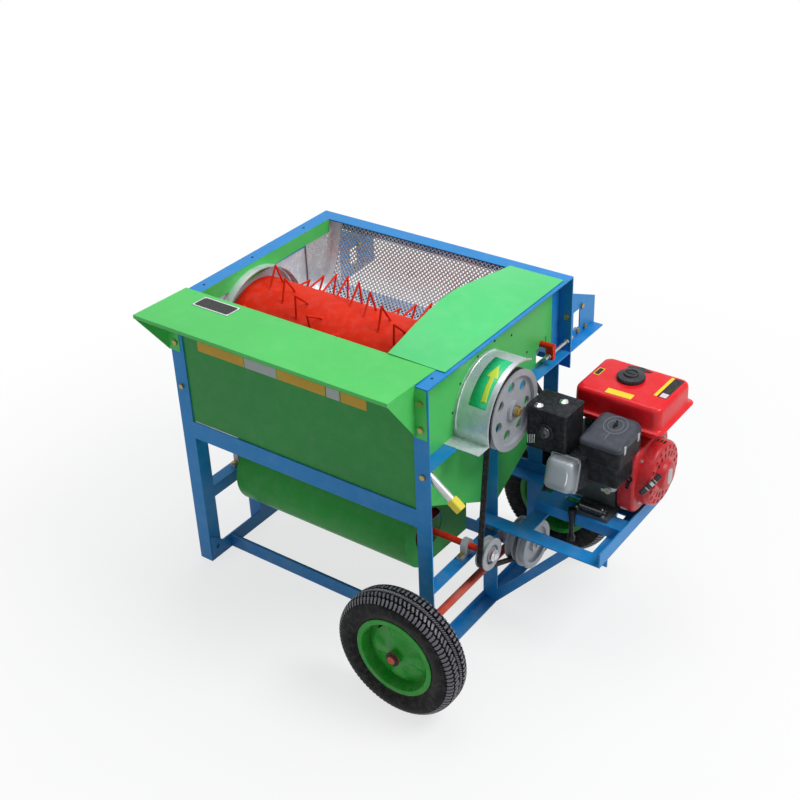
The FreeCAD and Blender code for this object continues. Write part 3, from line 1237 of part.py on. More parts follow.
# move the whole to the middle of its box and write one file per node
whole = Part.makeCompound([shape for shapes in parts.values() for shape in shapes])
extent = whole.BoundBox
shift = V(-(extent.XMin + extent.XMax) * HALF_SHARE, -(extent.YMin + extent.YMax) * HALF_SHARE,
          -extent.ZMin)
for name, shapes in parts.items():
    solids = []
    for shape in shapes:
        shape.translate(shift)
        solids += shape.Solids
    bad = [shape for shape in solids if not shape.isValid() or shape.Volume <= 0]
    node = solids[0] if len(solids) == 1 else Part.makeCompound(solids)
    node.exportStep(os.path.join("parts", name + ".step"))
    print(name, len(shapes), len(solids), "bad" if bad else "ok")
print("shift", shift.x, shift.y, shift.z)
print("size", extent.XLength, extent.YLength, extent.ZLength, "nodes", len(parts))
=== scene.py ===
import math

import bmesh
import bpy
import numpy as np
from bpy.props import FloatProperty, FloatVectorProperty, IntProperty, PointerProperty
from bpy.types import Operator, Panel, PropertyGroup
from mathutils import Matrix, Vector


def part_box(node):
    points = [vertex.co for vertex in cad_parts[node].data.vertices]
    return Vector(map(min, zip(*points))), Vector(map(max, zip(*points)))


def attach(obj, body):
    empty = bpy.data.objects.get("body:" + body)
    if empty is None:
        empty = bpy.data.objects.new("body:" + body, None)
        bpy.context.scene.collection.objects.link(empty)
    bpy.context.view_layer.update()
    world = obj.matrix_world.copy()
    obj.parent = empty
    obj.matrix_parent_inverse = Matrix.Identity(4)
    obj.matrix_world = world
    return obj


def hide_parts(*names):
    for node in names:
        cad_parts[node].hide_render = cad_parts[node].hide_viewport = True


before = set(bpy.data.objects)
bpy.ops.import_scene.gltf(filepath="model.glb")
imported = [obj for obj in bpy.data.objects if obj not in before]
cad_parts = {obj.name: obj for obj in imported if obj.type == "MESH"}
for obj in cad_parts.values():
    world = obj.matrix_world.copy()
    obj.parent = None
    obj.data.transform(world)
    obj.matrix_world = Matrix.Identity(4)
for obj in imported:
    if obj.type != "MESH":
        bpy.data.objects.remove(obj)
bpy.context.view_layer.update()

bl_info = {
    "name": "Rice thresher looks",
    "version": (1, 0, 0),
    "blender": (4, 5, 0),
    "location": "View3D > Sidebar > Thresher",
    "description": "Builds the finish and fine parts of an engine driven rice thresher round its frame",
    "category": "Add Mesh",
}

# The drawing's own zero, in millimetres: X along the drum from the left face of the frame,
# Y from its front face to the back, Z up from the ground.
LEFT_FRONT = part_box("front_left_leg")[0]
ZERO = np.array([-1000.0 * LEFT_FRONT[0], -1000.0 * LEFT_FRONT[1], 0.0])
TURN = 2.0 * math.pi

# Places of the drawing. The drum and the crankshaft run along X at these Y, Z.
DRUM = (299.0, 665.5)
CRANK = (545.0, 441.0)
ENGINE_TILT = -14.5
FAN = (190.0, 273.0)
AXLE_X, AXLE_Z = 861.2, 180.0
FRAME_TOP, TABLE_TOP, TANK_TOP = 861.0, 862.9, 660.2
CHAMBER = (46.0, 758.0)
GUARD_SKIN, DRUM_SKIN, SCREEN_R = 137.35, 146.6, 213.0
TOOTH_ROWS, ROW_TEETH, TOOTH_FIRST, TOOTH_STEP = 6, 10, 90.0, 71.5
TOOTH_START, TOOTH_TWIST, FOOT_SPREAD = 20.5, 12.9, 10.95
HANDLE_Z = 605.0
CAP = (1080.0, 605.0)
MUFFLER, OUTLET = (971.0, 398.5), (971.0, 595.0)
SPINDLE_X, SPINDLE_HEIGHTS = 1134.0, (471.0, 444.0)
SIDE_COVER_Y = CRANK[0] - 10.0
STICKER = 0.0003

# The starter grip: its middle, the way it is pulled and the way its bar lies.
GRIP_SPOT = np.array([1228.0, 449.0, 467.6])
GRIP_PULL = np.array([0.0, -0.7071, 0.7071])
GRIP_WAY = np.array([-0.451, -0.631, -0.631])


# Shapes on grids

def place(points):
    """Points of the drawing, in millimetres, as points of the row frame, in metres."""
    return (np.asarray(points, float) - ZERO) / 1000.0


def grid_faces(rows, columns):
    """Four-sided faces of a grid of rows by columns points."""
    i, j = np.meshgrid(np.arange(rows - 1), np.arange(columns - 1), indexing="ij")
    first = i * columns + j
    return np.stack([first, first + 1, first + columns + 1, first + columns], -1).reshape(-1, 4)


def sheet_of(points):
    """A grid of points as a surface: point (i, j) meets its neighbours (i+1, j) and (i, j+1)."""
    points = np.asarray(points, float)
    return points.reshape(-1, 3), grid_faces(points.shape[0], points.shape[1])


def along(axis, u, v, w):
    """Stacks coordinates so that w runs along the axis and u, v are the other two in order."""
    order = {"x": (w, u, v), "y": (u, w, v), "z": (u, v, w)}[axis]
    return np.stack(np.broadcast_arrays(*order), -1)


def turned(profile, axis, u, v, steps=48):
    """Profile of (along, radius) points turned round an axis through u, v.

    Point = axis point + radius * (cos a, sin a), for a all the way round."""
    w, radius = np.asarray(profile, float).T
    angle = np.linspace(0.0, TURN, steps + 1)[:, None]
    return sheet_of(along(axis, u + radius * np.cos(angle), v + radius * np.sin(angle),
                          w + 0.0 * angle))


def smooth_line(points, times=2, closed=False):
    """Corner cutting: each run of a line keeps its points at a quarter and three quarters."""
    points = np.asarray(points, float)
    for _ in range(times):
        following = np.roll(points, -1, 0) if closed else points[1:]
        before = points if closed else points[:-1]
        cut = np.stack([before * 0.75 + following * 0.25, before * 0.25 + following * 0.75], 1)
        cut = cut.reshape(-1, points.shape[1])
        points = cut if closed else np.vstack([points[:1], cut, points[-1:]])
    return points


def round_outline(half_u, half_v, radius, count=8):
    """Rectangle with round corners: four quarter circles joined by straight runs, closed."""
    quarter = np.linspace(0.0, math.pi / 2, count)
    corners = []
    for k, (su, sv) in enumerate(((1, 1), (-1, 1), (-1, -1), (1, -1))):
        angle = quarter + k * math.pi / 2
        corners.append(np.stack([su * (half_u - radius) + radius * np.cos(angle),
                                 sv * (half_v - radius) + radius * np.sin(angle)], -1))
    outline = np.vstack(corners)
    return np.vstack([outline, outline[:1]])


def stack(levels, axis, u, v, radius, count=8):
    """Closed body of round-cornered levels: each level is (along, half u, half v).

    The first and last levels shrink to a point, which closes the ends."""
    rings = []
    for w, half_u, half_v in levels:
        corner = min(radius, half_u * 0.98, half_v * 0.98)
        outline = round_outline(half_u, half_v, max(corner, 1e-4), count)
        rings.append(along(axis, u + outline[:, 0], v + outline[:, 1], np.full(len(outline), w)))
    first, last = rings[0].mean(0), rings[-1].mean(0)
    rings = [np.broadcast_to(first, rings[0].shape)] + rings + [np.broadcast_to(last, rings[0].shape)]
    return sheet_of(np.stack(rings))


def soft_block(x0, x1, y0, y1, z0, z1, corner=8.0, edge=4.0, axis="z", steps=5):
    """Block whose upright corners and end edges are quarter circles.

    A level rises by edge * (1 - cos a) and is drawn in by edge * (1 - sin a), a from 0 to a right
    angle."""
    low, high = np.array([x0, y0, z0], float), np.array([x1, y1, z1], float)
    k = "xyz".index(axis)
    others = [i for i in range(3) if i != k]
    half = (high - low) / 2
    middle = (high + low) / 2
    angle = np.linspace(0.0, math.pi / 2, steps)
    inset = edge * (1 - np.sin(angle))
    rise = edge * (1 - np.cos(angle))
    levels = [(low[k] + r, half[others[0]] - i, half[others[1]] - i) for r, i in zip(rise, inset)]
    levels += [(high[k] - r, half[others[0]] - i, half[others[1]] - i)
               for r, i in zip(rise[::-1], inset[::-1])]
    return stack(levels, axis, middle[others[0]], middle[others[1]], corner)


def swept(path, radius, steps=12):
    """Round section carried along a path, its two side directions square to the path's run."""
    path = np.asarray(path, float)
    run = np.gradient(path, axis=0)
    run /= np.linalg.norm(run, axis=1)[:, None]
    guide = np.array([0.3, 0.5, 0.81]) if abs(run[:, 2]).max() > 0.9 else np.array([0.0, 0.0, 1.0])
    side = np.cross(run, guide)
    side /= np.linalg.norm(side, axis=1)[:, None]
    up = np.cross(side, run)
    angle = np.linspace(0.0, TURN, steps + 1)
    radius = np.broadcast_to(np.asarray(radius, float), (len(path),))
    section = (side[:, None] * np.cos(angle)[None, :, None]
               + up[:, None] * np.sin(angle)[None, :, None]) * radius[:, None, None]
    rings = path[:, None] + section
    first = np.broadcast_to(path[0], rings[:1].shape)
    last = np.broadcast_to(path[-1], rings[:1].shape)
    return sheet_of(np.concatenate([first, rings, last]))


def slab(outline, axis, w0, w1):
    """Flat outline of (u, v) points drawn out from w0 to w1 along an axis, with two end faces."""
    outline = np.asarray(outline, float)
    count = len(outline)
    low = along(axis, outline[:, 0], outline[:, 1], np.full(count, w0))
    high = along(axis, outline[:, 0], outline[:, 1], np.full(count, w1))
    k = np.arange(count)
    sides = np.stack([k, (k + 1) % count, (k + 1) % count + count, k + count], -1)
    faces = [tuple(range(count))[::-1], tuple(range(count, 2 * count))] + sides.tolist()
    return np.vstack([low, high]), faces


def hex_bolt(axis, u, v, w, toward, radius=8.0, height=5.0):
    """Hexagon head with a chamfered top on a round washer, standing on w."""
    washer = [(w, 0.0), (w, radius * 1.45), (w + toward * 1.4, radius * 1.45), (w + toward * 1.4, 0.0)]
    head = [(w + toward * 1.2, 0.0), (w + toward * 1.2, radius), (w + toward * (height - 1), radius),
            (w + toward * height, radius * 0.84), (w + toward * height, 0.0)]
    return [turned(washer, axis, u, v, 20), turned(head, axis, u, v, 6)]


def dome(axis, u, v, w, toward, radius, height, steps=16):
    """Low round head: height * cos a above w at radius * sin a from its middle."""
    angle = np.linspace(0.0, math.pi / 2, 6)
    profile = np.stack([w + toward * height * np.cos(angle), radius * np.sin(angle)], -1)
    profile = np.vstack([profile, [(w, 0.0)]])
    return turned(profile, axis, u, v, steps)


def tilted(shape, degrees, y, z):
    """Shape turned about an axis along X through y, z."""
    points, faces = shape
    turn = math.radians(degrees)
    c, s = math.cos(turn), math.sin(turn)
    dy, dz = points[:, 1] - y, points[:, 2] - z
    return np.stack([points[:, 0], y + dy * c - dz * s, z + dy * s + dz * c], -1), faces


def leaned(shape, degrees, x, z):
    """Shape turned about an axis along Y through x, z, from +X towards -Z."""
    points, faces = shape
    turn = math.radians(degrees)
    c, s = math.cos(turn), math.sin(turn)
    dx, dz = points[:, 0] - x, points[:, 2] - z
    return np.stack([x + dx * c + dz * s, points[:, 1], z - dx * s + dz * c], -1), faces


def carried(shape, spot, way):
    """Shape drawn along X about the zero point, moved to a spot with its X along a given way."""
    points, faces = shape
    way = np.asarray(way, float) / np.linalg.norm(way)
    side = np.cross(way, (0.0, 0.0, 1.0))
    side /= np.linalg.norm(side)
    basis = np.stack([way, np.cross(side, way), side])
    return points @ basis + np.asarray(spot, float), faces


def linked(name, data):
    """New object of some data, in the scene."""
    thing = bpy.data.objects.new(name, data)
    bpy.context.scene.collection.objects.link(thing)
    return thing


def walled(thing, thickness):
    """Gives a sheet a wall of a thickness in metres, half on each side."""
    wall = thing.modifiers.new("Wall", "SOLIDIFY")
    wall.thickness = thickness
    wall.offset = 0.0


def piece(name, shapes, body, finish, replaces=(), crease=32.0):
    """One object from a list of (points, faces), riding on a body, with its place in its mesh."""
    points, faces, offset = [], [], 0
    for shape_points, shape_faces in shapes:
        points.append(place(shape_points))
        if isinstance(shape_faces, np.ndarray):
            shape_faces = (shape_faces + offset).tolist()
        else:
            shape_faces = [tuple(int(k) + offset for k in face) for face in shape_faces]
        faces += shape_faces
        offset += len(shape_points)
    mesh = bpy.data.meshes.new(name)
    mesh.from_pydata(np.vstack(points).tolist(), [], faces)
    work = bmesh.new()
    work.from_mesh(mesh)
    bmesh.ops.remove_doubles(work, verts=work.verts, dist=2e-6)
    bmesh.ops.dissolve_degenerate(work, edges=work.edges, dist=1e-6)
    bmesh.ops.recalc_face_normals(work, faces=work.faces)
    work.to_mesh(mesh)
    work.free()
    mesh.shade_smooth()
    mesh.set_sharp_from_angle(angle=math.radians(crease))
    mesh.materials.append(FINISH[finish])
    thing = linked(name, mesh)
    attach(thing, body)
    if replaces:
        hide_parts(*replaces)
    return thing


# Finishes

BARE_METAL = (0.16, 0.15, 0.14)
COAT_DISTANCE, ZINC_DISTANCE = 0.0006, 0.0004


def tone(red, green, blue):
    """Screen colour of 0 to 255 as the linear colour that Blender's nodes take."""
    values = np.array([red, green, blue]) / 255.0
    linear = np.where(values <= 0.04045, values / 12.92, ((values + 0.055) / 1.055) ** 2.4)
    return tuple(float(v) for v in linear)


def added(tree, kind, inputs=(), **attributes):
    """New node with its attributes and its inputs: each is a value, or a socket that is wired to it."""
    made = tree.nodes.new(kind)
    for name, value in attributes.items():
        setattr(made, name, value)
    for name, value in dict(inputs).items():
        if isinstance(value, bpy.types.NodeSocket):
            tree.links.new(value, made.inputs[name])
        else:
            made.inputs[name].default_value = value
    return made


def new_group(name, inputs):
    """Group that reads a vector and puts out a colour, a roughness and a height.

    Of its other inputs, four numbers make a colour socket and one a plain one."""
    group = bpy.data.node_groups.new(name, "ShaderNodeTree")
    group.interface.new_socket(name="Vector", in_out="INPUT", socket_type="NodeSocketVector")
    for label, value in inputs.items():
        kind = "NodeSocketColor" if isinstance(value, tuple) else "NodeSocketFloat"
        group.interface.new_socket(name=label, in_out="INPUT", socket_type=kind).default_value = value
    for label, kind in (("Color", "Color"), ("Roughness", "Float"), ("Height", "Float")):
        group.interface.new_socket(name=label, in_out="OUTPUT", socket_type="NodeSocket" + kind)
    return group, group.nodes.new("NodeGroupInput").outputs


def coat_group():
    """Painted sheet metal: slow and fine changes of tone, chips, and dust that gathers low."""
    group, inlet = new_group("Worn coat", {
        "Coat": (0.1, 0.4, 0.8, 1.0), "Under": (0.2, 0.18, 0.16, 1.0), "Dust": (0.35, 0.3, 0.24, 1.0),
        "Scale": 8.0, "Chips": 0.3, "Dusty": 0.2, "Gloss low": 0.28, "Gloss high": 0.5})

    def noise(multiplier, detail, roughness):
        """Noise at a multiple of the coat's scale."""
        scale = added(group, "ShaderNodeMath", {0: inlet["Scale"], 1: multiplier}, operation="MULTIPLY")
        return added(group, "ShaderNodeTexNoise", {
            "Vector": inlet["Vector"], "Scale": scale.outputs[0], "Detail": detail,
            "Roughness": roughness}).outputs["Fac"]

    def ranged(source, low, high, to_low=0.0, to_high=1.0):
        """Value stretched from one range to another."""
        return added(group, "ShaderNodeMapRange", {
            "Value": source, "From Min": low, "From Max": high, "To Min": to_low,
            "To Max": to_high}).outputs["Result"]

    def product(first, second):
        """Product of two masks, held between 0 and 1."""
        return added(group, "ShaderNodeMath", {0: first, 1: second}, operation="MULTIPLY",
                     use_clamp=True).outputs[0]

    def mixed(factor, first, second):
        """Two colours mixed by a mask."""
        return added(group, "ShaderNodeMix", {"Factor": factor, 6: first, 7: second},
                     data_type="RGBA").outputs[2]

    broad = noise(0.5, 2.0, 0.5)
    middle = noise(3.0, 4.0, 0.6)
    fine = noise(40.0, 3.0, 0.6)
    toned = mixed(ranged(broad, 0.3, 0.7, 0.0, 0.09), inlet["Coat"], (0.0, 0.0, 0.0, 1.0))
    toned = mixed(ranged(middle, 0.45, 0.75, 0.0, 0.03), toned, (1.0, 1.0, 1.0, 1.0))
    chip = product(ranged(noise(9.0, 6.0, 0.72), 0.66, 0.69), inlet["Chips"])
    toned = mixed(chip, toned, inlet["Under"])
    height = added(group, "ShaderNodeSeparateXYZ", {0: inlet["Vector"]}).outputs["Z"]
    low_down = ranged(height, 0.02, 0.45, 1.0, 0.25)
    dust = product(product(ranged(middle, 0.35, 0.7), low_down), inlet["Dusty"])
    toned = mixed(dust, toned, inlet["Dust"])
    rough = ranged(middle, 0.3, 0.75, inlet["Gloss low"], inlet["Gloss high"])
    added(group, "NodeGroupOutput", {"Color": toned, "Roughness": rough, "Height": fine})


def spangle_group():
    """Zinc coating: crystals of differing tone under soft stains."""
    group, inlet = new_group("Zinc spangle", {
        "Bright": (0.7, 0.73, 0.75, 1.0), "Dull": (0.4, 0.42, 0.44, 1.0), "Scale": 60.0, "Stains": 0.4})
    crystals = added(group, "ShaderNodeTexVoronoi", {"Vector": inlet["Vector"], "Scale": inlet["Scale"]})
    split = added(group, "ShaderNodeSeparateColor", {0: crystals.outputs["Color"]})
    cloud = added(group, "ShaderNodeTexNoise", {"Vector": inlet["Vector"], "Scale": 9.0, "Detail": 5.0})
    stain = added(group, "ShaderNodeMapRange", {"Value": cloud.outputs["Fac"], "From Min": 0.45,
                                                "From Max": 0.72})
    weight = added(group, "ShaderNodeMath", {0: stain.outputs["Result"], 1: inlet["Stains"]},
                   operation="MULTIPLY")
    both = added(group, "ShaderNodeMath", {0: split.outputs[0], 1: 0.28, 2: weight.outputs[0]},
                 operation="MULTIPLY_ADD", use_clamp=True)
    blend = added(group, "ShaderNodeMix", {"Factor": both.outputs[0], 6: inlet["Bright"],
                                           7: inlet["Dull"]}, data_type="RGBA")
    rough = added(group, "ShaderNodeMapRange", {"Value": both.outputs[0], "To Min": 0.24,
                                                "To Max": 0.48})
    added(group, "NodeGroupOutput", {"Color": blend.outputs[2], "Roughness": rough.outputs["Result"],
                                     "Height": split.outputs[1]})


def start_material(name, group_name, values, shader_values, bump, distance):
    """Material whose colour, roughness and relief come from a group read on object coordinates."""
    material = bpy.data.materials.new(name)
    material.use_nodes = True
    tree = material.node_tree
    shader = tree.nodes["Principled BSDF"]
    for socket, value in shader_values.items():
        shader.inputs[socket].default_value = value
    where = added(tree, "ShaderNodeTexCoord")
    values = {socket: (*value, 1.0) if isinstance(value, tuple) else value
              for socket, value in values.items()}
    group = added(tree, "ShaderNodeGroup", {"Vector": where.outputs["Object"], **values},
                  node_tree=bpy.data.node_groups[group_name])
    relief = added(tree, "ShaderNodeBump", {"Strength": bump, "Distance": distance,
                                            "Height": group.outputs["Height"]})
    for socket, source in (("Base Color", group.outputs["Color"]),
                           ("Roughness", group.outputs["Roughness"]),
                           ("Normal", relief.outputs["Normal"])):
        tree.links.new(source, shader.inputs[socket])
    return material


def coated(name, coat, under, chips, dusty, scale, low, high, metallic=0.0, bump=0.1, coat_weight=0.0,
           shine=0.22):
    """Painted, moulded or cast finish from the worn coat group."""
    values = {"Coat": coat, "Under": under, "Scale": scale, "Chips": chips, "Dusty": dusty,
              "Gloss low": low, "Gloss high": high}
    shader = {"Metallic": metallic, "Coat Weight": coat_weight, "Coat Roughness": 0.12,
              "Specular IOR Level": shine}
    return start_material(name, "Worn coat", values, shader, bump, COAT_DISTANCE)


def zinc(name, bright, dull, scale, stains, metallic, bump=0.12):
    """Galvanised finish from the spangle group."""
    values = {"Bright": bright, "Dull": dull, "Scale": scale, "Stains": stains}
    return start_material(name, "Zinc spangle", values, {"Metallic": metallic}, bump, ZINC_DISTANCE)


# Painted, moulded and cast finishes: colour, as a setting's name or red, green and blue of 0 to 255,
# the same of what shows through chips, chips, dust, scale, lowest and highest roughness, and then,
# where they differ from the usual, metal, relief, clear coat and specular level.
COATS = {
    "frame_blue": ("frame_blue", None, 0.3, 0.16, 8.0, 0.3, 0.5),
    "panel_green": ("panel_green", None, 0.02, 0.04, 8.0, 0.28, 0.45),
    "hood_green": ("hood_green", None, 0.02, 0.04, 8.0, 0.28, 0.45),
    # Front panel: the panels' green darkened, painted shade of the table above it.
    "front_green": ("front_green", None, 0.02, 0.04, 8.0, 0.3, 0.5),
    # Fan housing: a darker green, painted shade of the body above it.
    "fan_green": ("fan_green", None, 0.04, 0.08, 8.0, 0.3, 0.5, 0.0, 0.1, 0.0, 0.14),
    "rim_green": ("rim_green", None, 0.3, 0.22, 9.0, 0.2, 0.4, 0.0, 0.1, 0.06, 0.16),
    "drum_red": ("drum_red", None, 0.1, 0.04, 12.0, 0.42, 0.58, 0.0, 0.1, 0.0, 0.1),
    "axle_red": ((205, 66, 44), None, 0.5, 0.4, 8.0, 0.35, 0.6),
    "engine_red": ("engine_red", None, 0.0, 0.02, 5.0, 0.16, 0.26, 0.0, 0.02, 0.07, 0.16),
    "shroud_red": ((198, 42, 48), None, 0.15, 0.15, 18.0, 0.25, 0.42),
    "brass_bolt": ((176, 152, 92), (110, 84, 50), 0.6, 0.1, 40.0, 0.3, 0.5, 0.75),
    "steel": ((178, 180, 180), (96, 74, 56), 0.4, 0.15, 30.0, 0.26, 0.45, 0.9),
    "chrome": ((226, 228, 230), None, 0.1, 0.05, 40.0, 0.08, 0.2, 1.0, 0.02),
    "cast_grey": ((176, 180, 186), (120, 118, 116), 0.3, 0.12, 26.0, 0.42, 0.6, 0.25, 0.3),
    # Engine pulley: darker than the other cast pulleys, painted shade of the spot it sits in.
    "cast_dark": ((64, 66, 70), (40, 38, 36), 0.4, 0.2, 26.0, 0.4, 0.6, 0.4, 0.35),
    # Engine block: its grey darkened, painted shade of the area under the air cleaner.
    "case_grey": ((92, 96, 100), (60, 58, 56), 0.2, 0.1, 30.0, 0.4, 0.56, 0.35, 0.25),
    "engine_silver": ((164, 172, 178), (104, 104, 104), 0.15, 0.06, 30.0, 0.34, 0.5, 0.45, 0.2),
    "black_metal": ((36, 38, 42), (70, 66, 62), 0.35, 0.05, 30.0, 0.3, 0.5, 0.3, 0.2, 0.0, 0.14),
    "black_plastic": ((27, 28, 33), (70, 70, 76), 0.04, 0.02, 16.0, 0.4, 0.52, 0.0, 0.25, 0.0, 0.1),
    # Air cleaner lid: the case's black plastic made lighter, painted light on its lit top.
    "lid_grey": ((62, 66, 76), (90, 90, 96), 0.04, 0.03, 16.0, 0.36, 0.5, 0.0, 0.2, 0.0, 0.18),
    "ring_grey": ((104, 106, 114), (90, 90, 96), 0.1, 0.05, 30.0, 0.3, 0.45),
    "dome_grey": ((74, 76, 80), (50, 48, 46), 0.3, 0.1, 40.0, 0.14, 0.3, 0.8),
    "cap_black": ((44, 46, 50), (80, 80, 84), 0.1, 0.05, 30.0, 0.36, 0.5, 0.0, 0.2),
    "tyre_rubber": ((16, 17, 21), (44, 43, 46), 0.15, 0.04, 22.0, 0.34, 0.5, 0.0, 0.2, 0.0, 0.08),
    # Tops of the tread blocks: the tyre's rubber made pale, a painted highlight.
    "tread_rubber": ((98, 97, 107), (52, 52, 58), 0.2, 0.1, 30.0, 0.26, 0.44, 0.0, 0.25, 0.0, 0.4),
    "belt_rubber": ((26, 26, 28), (60, 58, 56), 0.3, 0.3, 40.0, 0.45, 0.65, 0.0, 0.3),
    "grip_yellow": ("grip_yellow", (150, 136, 60), 0.5, 0.2, 40.0, 0.4, 0.6),
    "stripe_yellow": ((204, 158, 32), (150, 130, 60), 0.3, 0.15, 30.0, 0.3, 0.45),
    "arrow_yellow": ((206, 228, 70), (150, 160, 60), 0.3, 0.1, 40.0, 0.25, 0.4),
    "label_green": ((38, 200, 130), (90, 150, 120), 0.25, 0.1, 30.0, 0.22, 0.38),
    "stripe_bright": ((244, 214, 50), (190, 160, 60), 0.1, 0.02, 40.0, 0.25, 0.4),
    "label_pale": ((226, 206, 212), (180, 160, 160), 0.2, 0.05, 40.0, 0.25, 0.4),
    "label_white": ((176, 180, 182), (120, 110, 96), 0.4, 0.2, 30.0, 0.3, 0.45),
    "label_black": ((18, 19, 22), (60, 62, 62), 0.25, 0.05, 40.0, 0.2, 0.4),
    "slot_black": ((14, 12, 12), None, 0.1, 0.1, 30.0, 0.6, 0.8),
}
# Zinc finishes: bright and dull crystals, crystals in a metre, stains, metal.
ZINCS = {
    "zinc_sheet": ((226, 230, 234), (166, 172, 178), 60.0, 0.4, 0.35),
    "zinc_screen": ((196, 200, 206), (132, 136, 144), 90.0, 0.5, 0.4),
    "bright_zinc": ((232, 234, 236), (176, 180, 184), 80.0, 0.3, 0.85),
    "handle_grey": ((214, 218, 216), (150, 152, 148), 50.0, 0.7, 0.4),
}


def make_finishes(colours):
    """Every finish of the machine, by name."""
    made = {}
    for name, (colour, under, *values) in COATS.items():
        coat = tuple(getattr(colours, colour)) if isinstance(colour, str) else tone(*colour)
        made[name] = coated(name, coat, tone(*under) if under else BARE_METAL, *values)
    for name, (bright, dull, *values) in ZINCS.items():
        made[name] = zinc(name, tone(*bright), tone(*dull), *values)
    return made


FINISH = {}
NODE_FINISH = {
    "frame_blue": ["front_left_leg", "front_right_leg", "rear_left_leg", "rear_right_post",
                   "middle_posts", "wheel_arch", "top_rails", "cross_rails", "side_rails",
                   "base_rails", "engine_platform", "platform_brace", "rear_brackets"],
    "panel_green": ["feed_table", "right_end_panel", "hopper"],
    "fan_green": ["fan_housing"],
    "hood_green": ["drum_hood"],
    "front_green": ["front_panel"],
    "drum_red": ["drum_shell", "drum_teeth_a", "drum_teeth_b", "drum_teeth_c", "fan_rotor",
                 "concave_lever"],
    "axle_red": ["wheel_axle"],
    "zinc_sheet": ["left_end_sheet", "belt_guard"],
    "cast_grey": ["drum_pulley", "fan_pulley", "jackshaft_pulleys", "bearings"],
    "cast_dark": ["engine_pulley"],
    "steel": ["drum_shaft", "adjuster_screw", "choke_lever", "fuel_tap"],
    "brass_bolt": ["frame_bolts"],
    "label_black": ["rating_plate"],
    "belt_rubber": ["main_belt"],
    "case_grey": ["engine_block"],
    "black_metal": ["muffler"],
    "black_plastic": ["throttle_lever"],
}


# Properties

class ThresherColours(PropertyGroup):
    """Paint colours of the machine."""

    frame_blue: FloatVectorProperty(name="Frame", description="Paint of the angle iron frame",
                                    subtype="COLOR", default=tone(24, 135, 207), min=0.0, max=1.0)
    panel_green: FloatVectorProperty(name="Panels", description="Paint of the sheet panels",
                                     subtype="COLOR", default=tone(80, 202, 98), min=0.0, max=1.0)
    hood_green: FloatVectorProperty(name="Drum hood", description="Paint of the hood over the drum",
                                    subtype="COLOR", default=tone(84, 206, 122), min=0.0, max=1.0)
    # The front panel's green is darker than the panels' green: painted shade, for the shade under the
    # table.
    front_green: FloatVectorProperty(name="Front panel", description="Paint of the front panel",
                                     subtype="COLOR", default=tone(36, 142, 60), min=0.0, max=1.0)
    # The fan housing's green is darker than the panels' green: painted shade, for the shade of the body
    # above.
    fan_green: FloatVectorProperty(name="Fan housing", description="Paint of the fan housing",
                                   subtype="COLOR", default=tone(40, 154, 60), min=0.0, max=1.0)
    rim_green: FloatVectorProperty(name="Rims", description="Paint of the wheel rims",
                                   subtype="COLOR", default=tone(24, 160, 44), min=0.0, max=1.0)
    drum_red: FloatVectorProperty(name="Drum", description="Paint of the drum and its teeth",
                                  subtype="COLOR", default=tone(222, 43, 12), min=0.0, max=1.0)
    engine_red: FloatVectorProperty(name="Tank", description="Lacquer of the fuel tank",
                                    subtype="COLOR", default=tone(226, 26, 36), min=0.0, max=1.0)
    grip_yellow: FloatVectorProperty(name="Grips", description="Colour of the handle grips",
                                     subtype="COLOR", default=tone(238, 220, 72), min=0.0, max=1.0)


class ThresherSizes(PropertyGroup):
    """Sizes of the fine parts."""

    screen_pitch: FloatProperty(name="Screen pitch", description="Width of one opening and its wires",
                                default=0.0141, min=0.008, max=0.03, unit="LENGTH")
    screen_hole: FloatProperty(name="Screen opening", description="Share of the pitch that is open",
                               default=0.54, min=0.2, max=0.85, subtype="FACTOR")
    tread_depth: FloatProperty(name="Tread depth", description="Depth of the grooves between the blocks",
                               default=0.0065, min=0.001, max=0.01, unit="LENGTH")
    tread_blocks: IntProperty(name="Tread blocks", description="Pairs of blocks round one tyre", default=44,
                              min=12, max=60)
    cap_ribs: IntProperty(name="Cap ribs", description="Ribs round the fuel cap", default=30, min=8,
                          max=40)
    vent_slots: IntProperty(name="Vent slots", description="Slots round the starter cover", default=18,
                            min=6, max=30)


# Screens and sheets

def perforated(name, spot, width, height, pitch, share, thick, body, finish, replaces):
    """Sheet with staggered diamond openings.

    spot maps (across, up), in millimetres, to points. Every cell is a diamond; its eight border
    points join eight points of a rounded opening."""
    columns = int(width // pitch)
    rows = int(height // (pitch / 2))
    i, j = np.meshgrid(np.arange(columns), np.arange(rows), indexing="ij")
    keep = ~((j % 2 == 1) & (i == columns - 1))
    across = (i + 0.5 + 0.5 * (j % 2))[keep] * pitch + (width - columns * pitch) / 2
    up = (j + 1)[keep] * pitch / 2 + (height - (rows + 1) * pitch / 2) / 2
    angle = np.arange(8) * math.pi / 4
    border = np.stack([np.cos(angle), np.sin(angle)], -1) * pitch / 2
    border[1::2] *= math.sqrt(0.5)
    opening = np.stack([np.cos(angle), np.sin(angle)], -1) * pitch / 2 * share
    opening[1::2] *= 0.80
    pattern = np.vstack([border, opening])
    flat = np.stack([across, up], -1)[:, None] + pattern[None]
    points = spot(flat[..., 0].ravel(), flat[..., 1].ravel())
    k = np.arange(8)
    ring = np.stack([k, (k + 1) % 8, (k + 1) % 8 + 8, k + 8], -1)
    faces = (ring[None] + 16 * np.arange(len(across))[:, None, None]).reshape(-1, 4)
    made = piece(name, [(points, faces)], body, finish, replaces, crease=50.0)
    walled(made, thick / 1000.0)


def line_map(path, x0):
    """Maps (across, up): across runs along X from x0, up is the length along a path of y, z."""
    path = np.asarray(path, float)
    run = np.concatenate([[0.0], np.cumsum(np.hypot(*np.diff(path, axis=0).T))])

    def spot(across, up):
        """Point that far along X and along the path."""
        return np.stack([x0 + across, np.interp(up, run, path[:, 0]), np.interp(up, run, path[:, 1])], -1)

    return spot, run[-1]


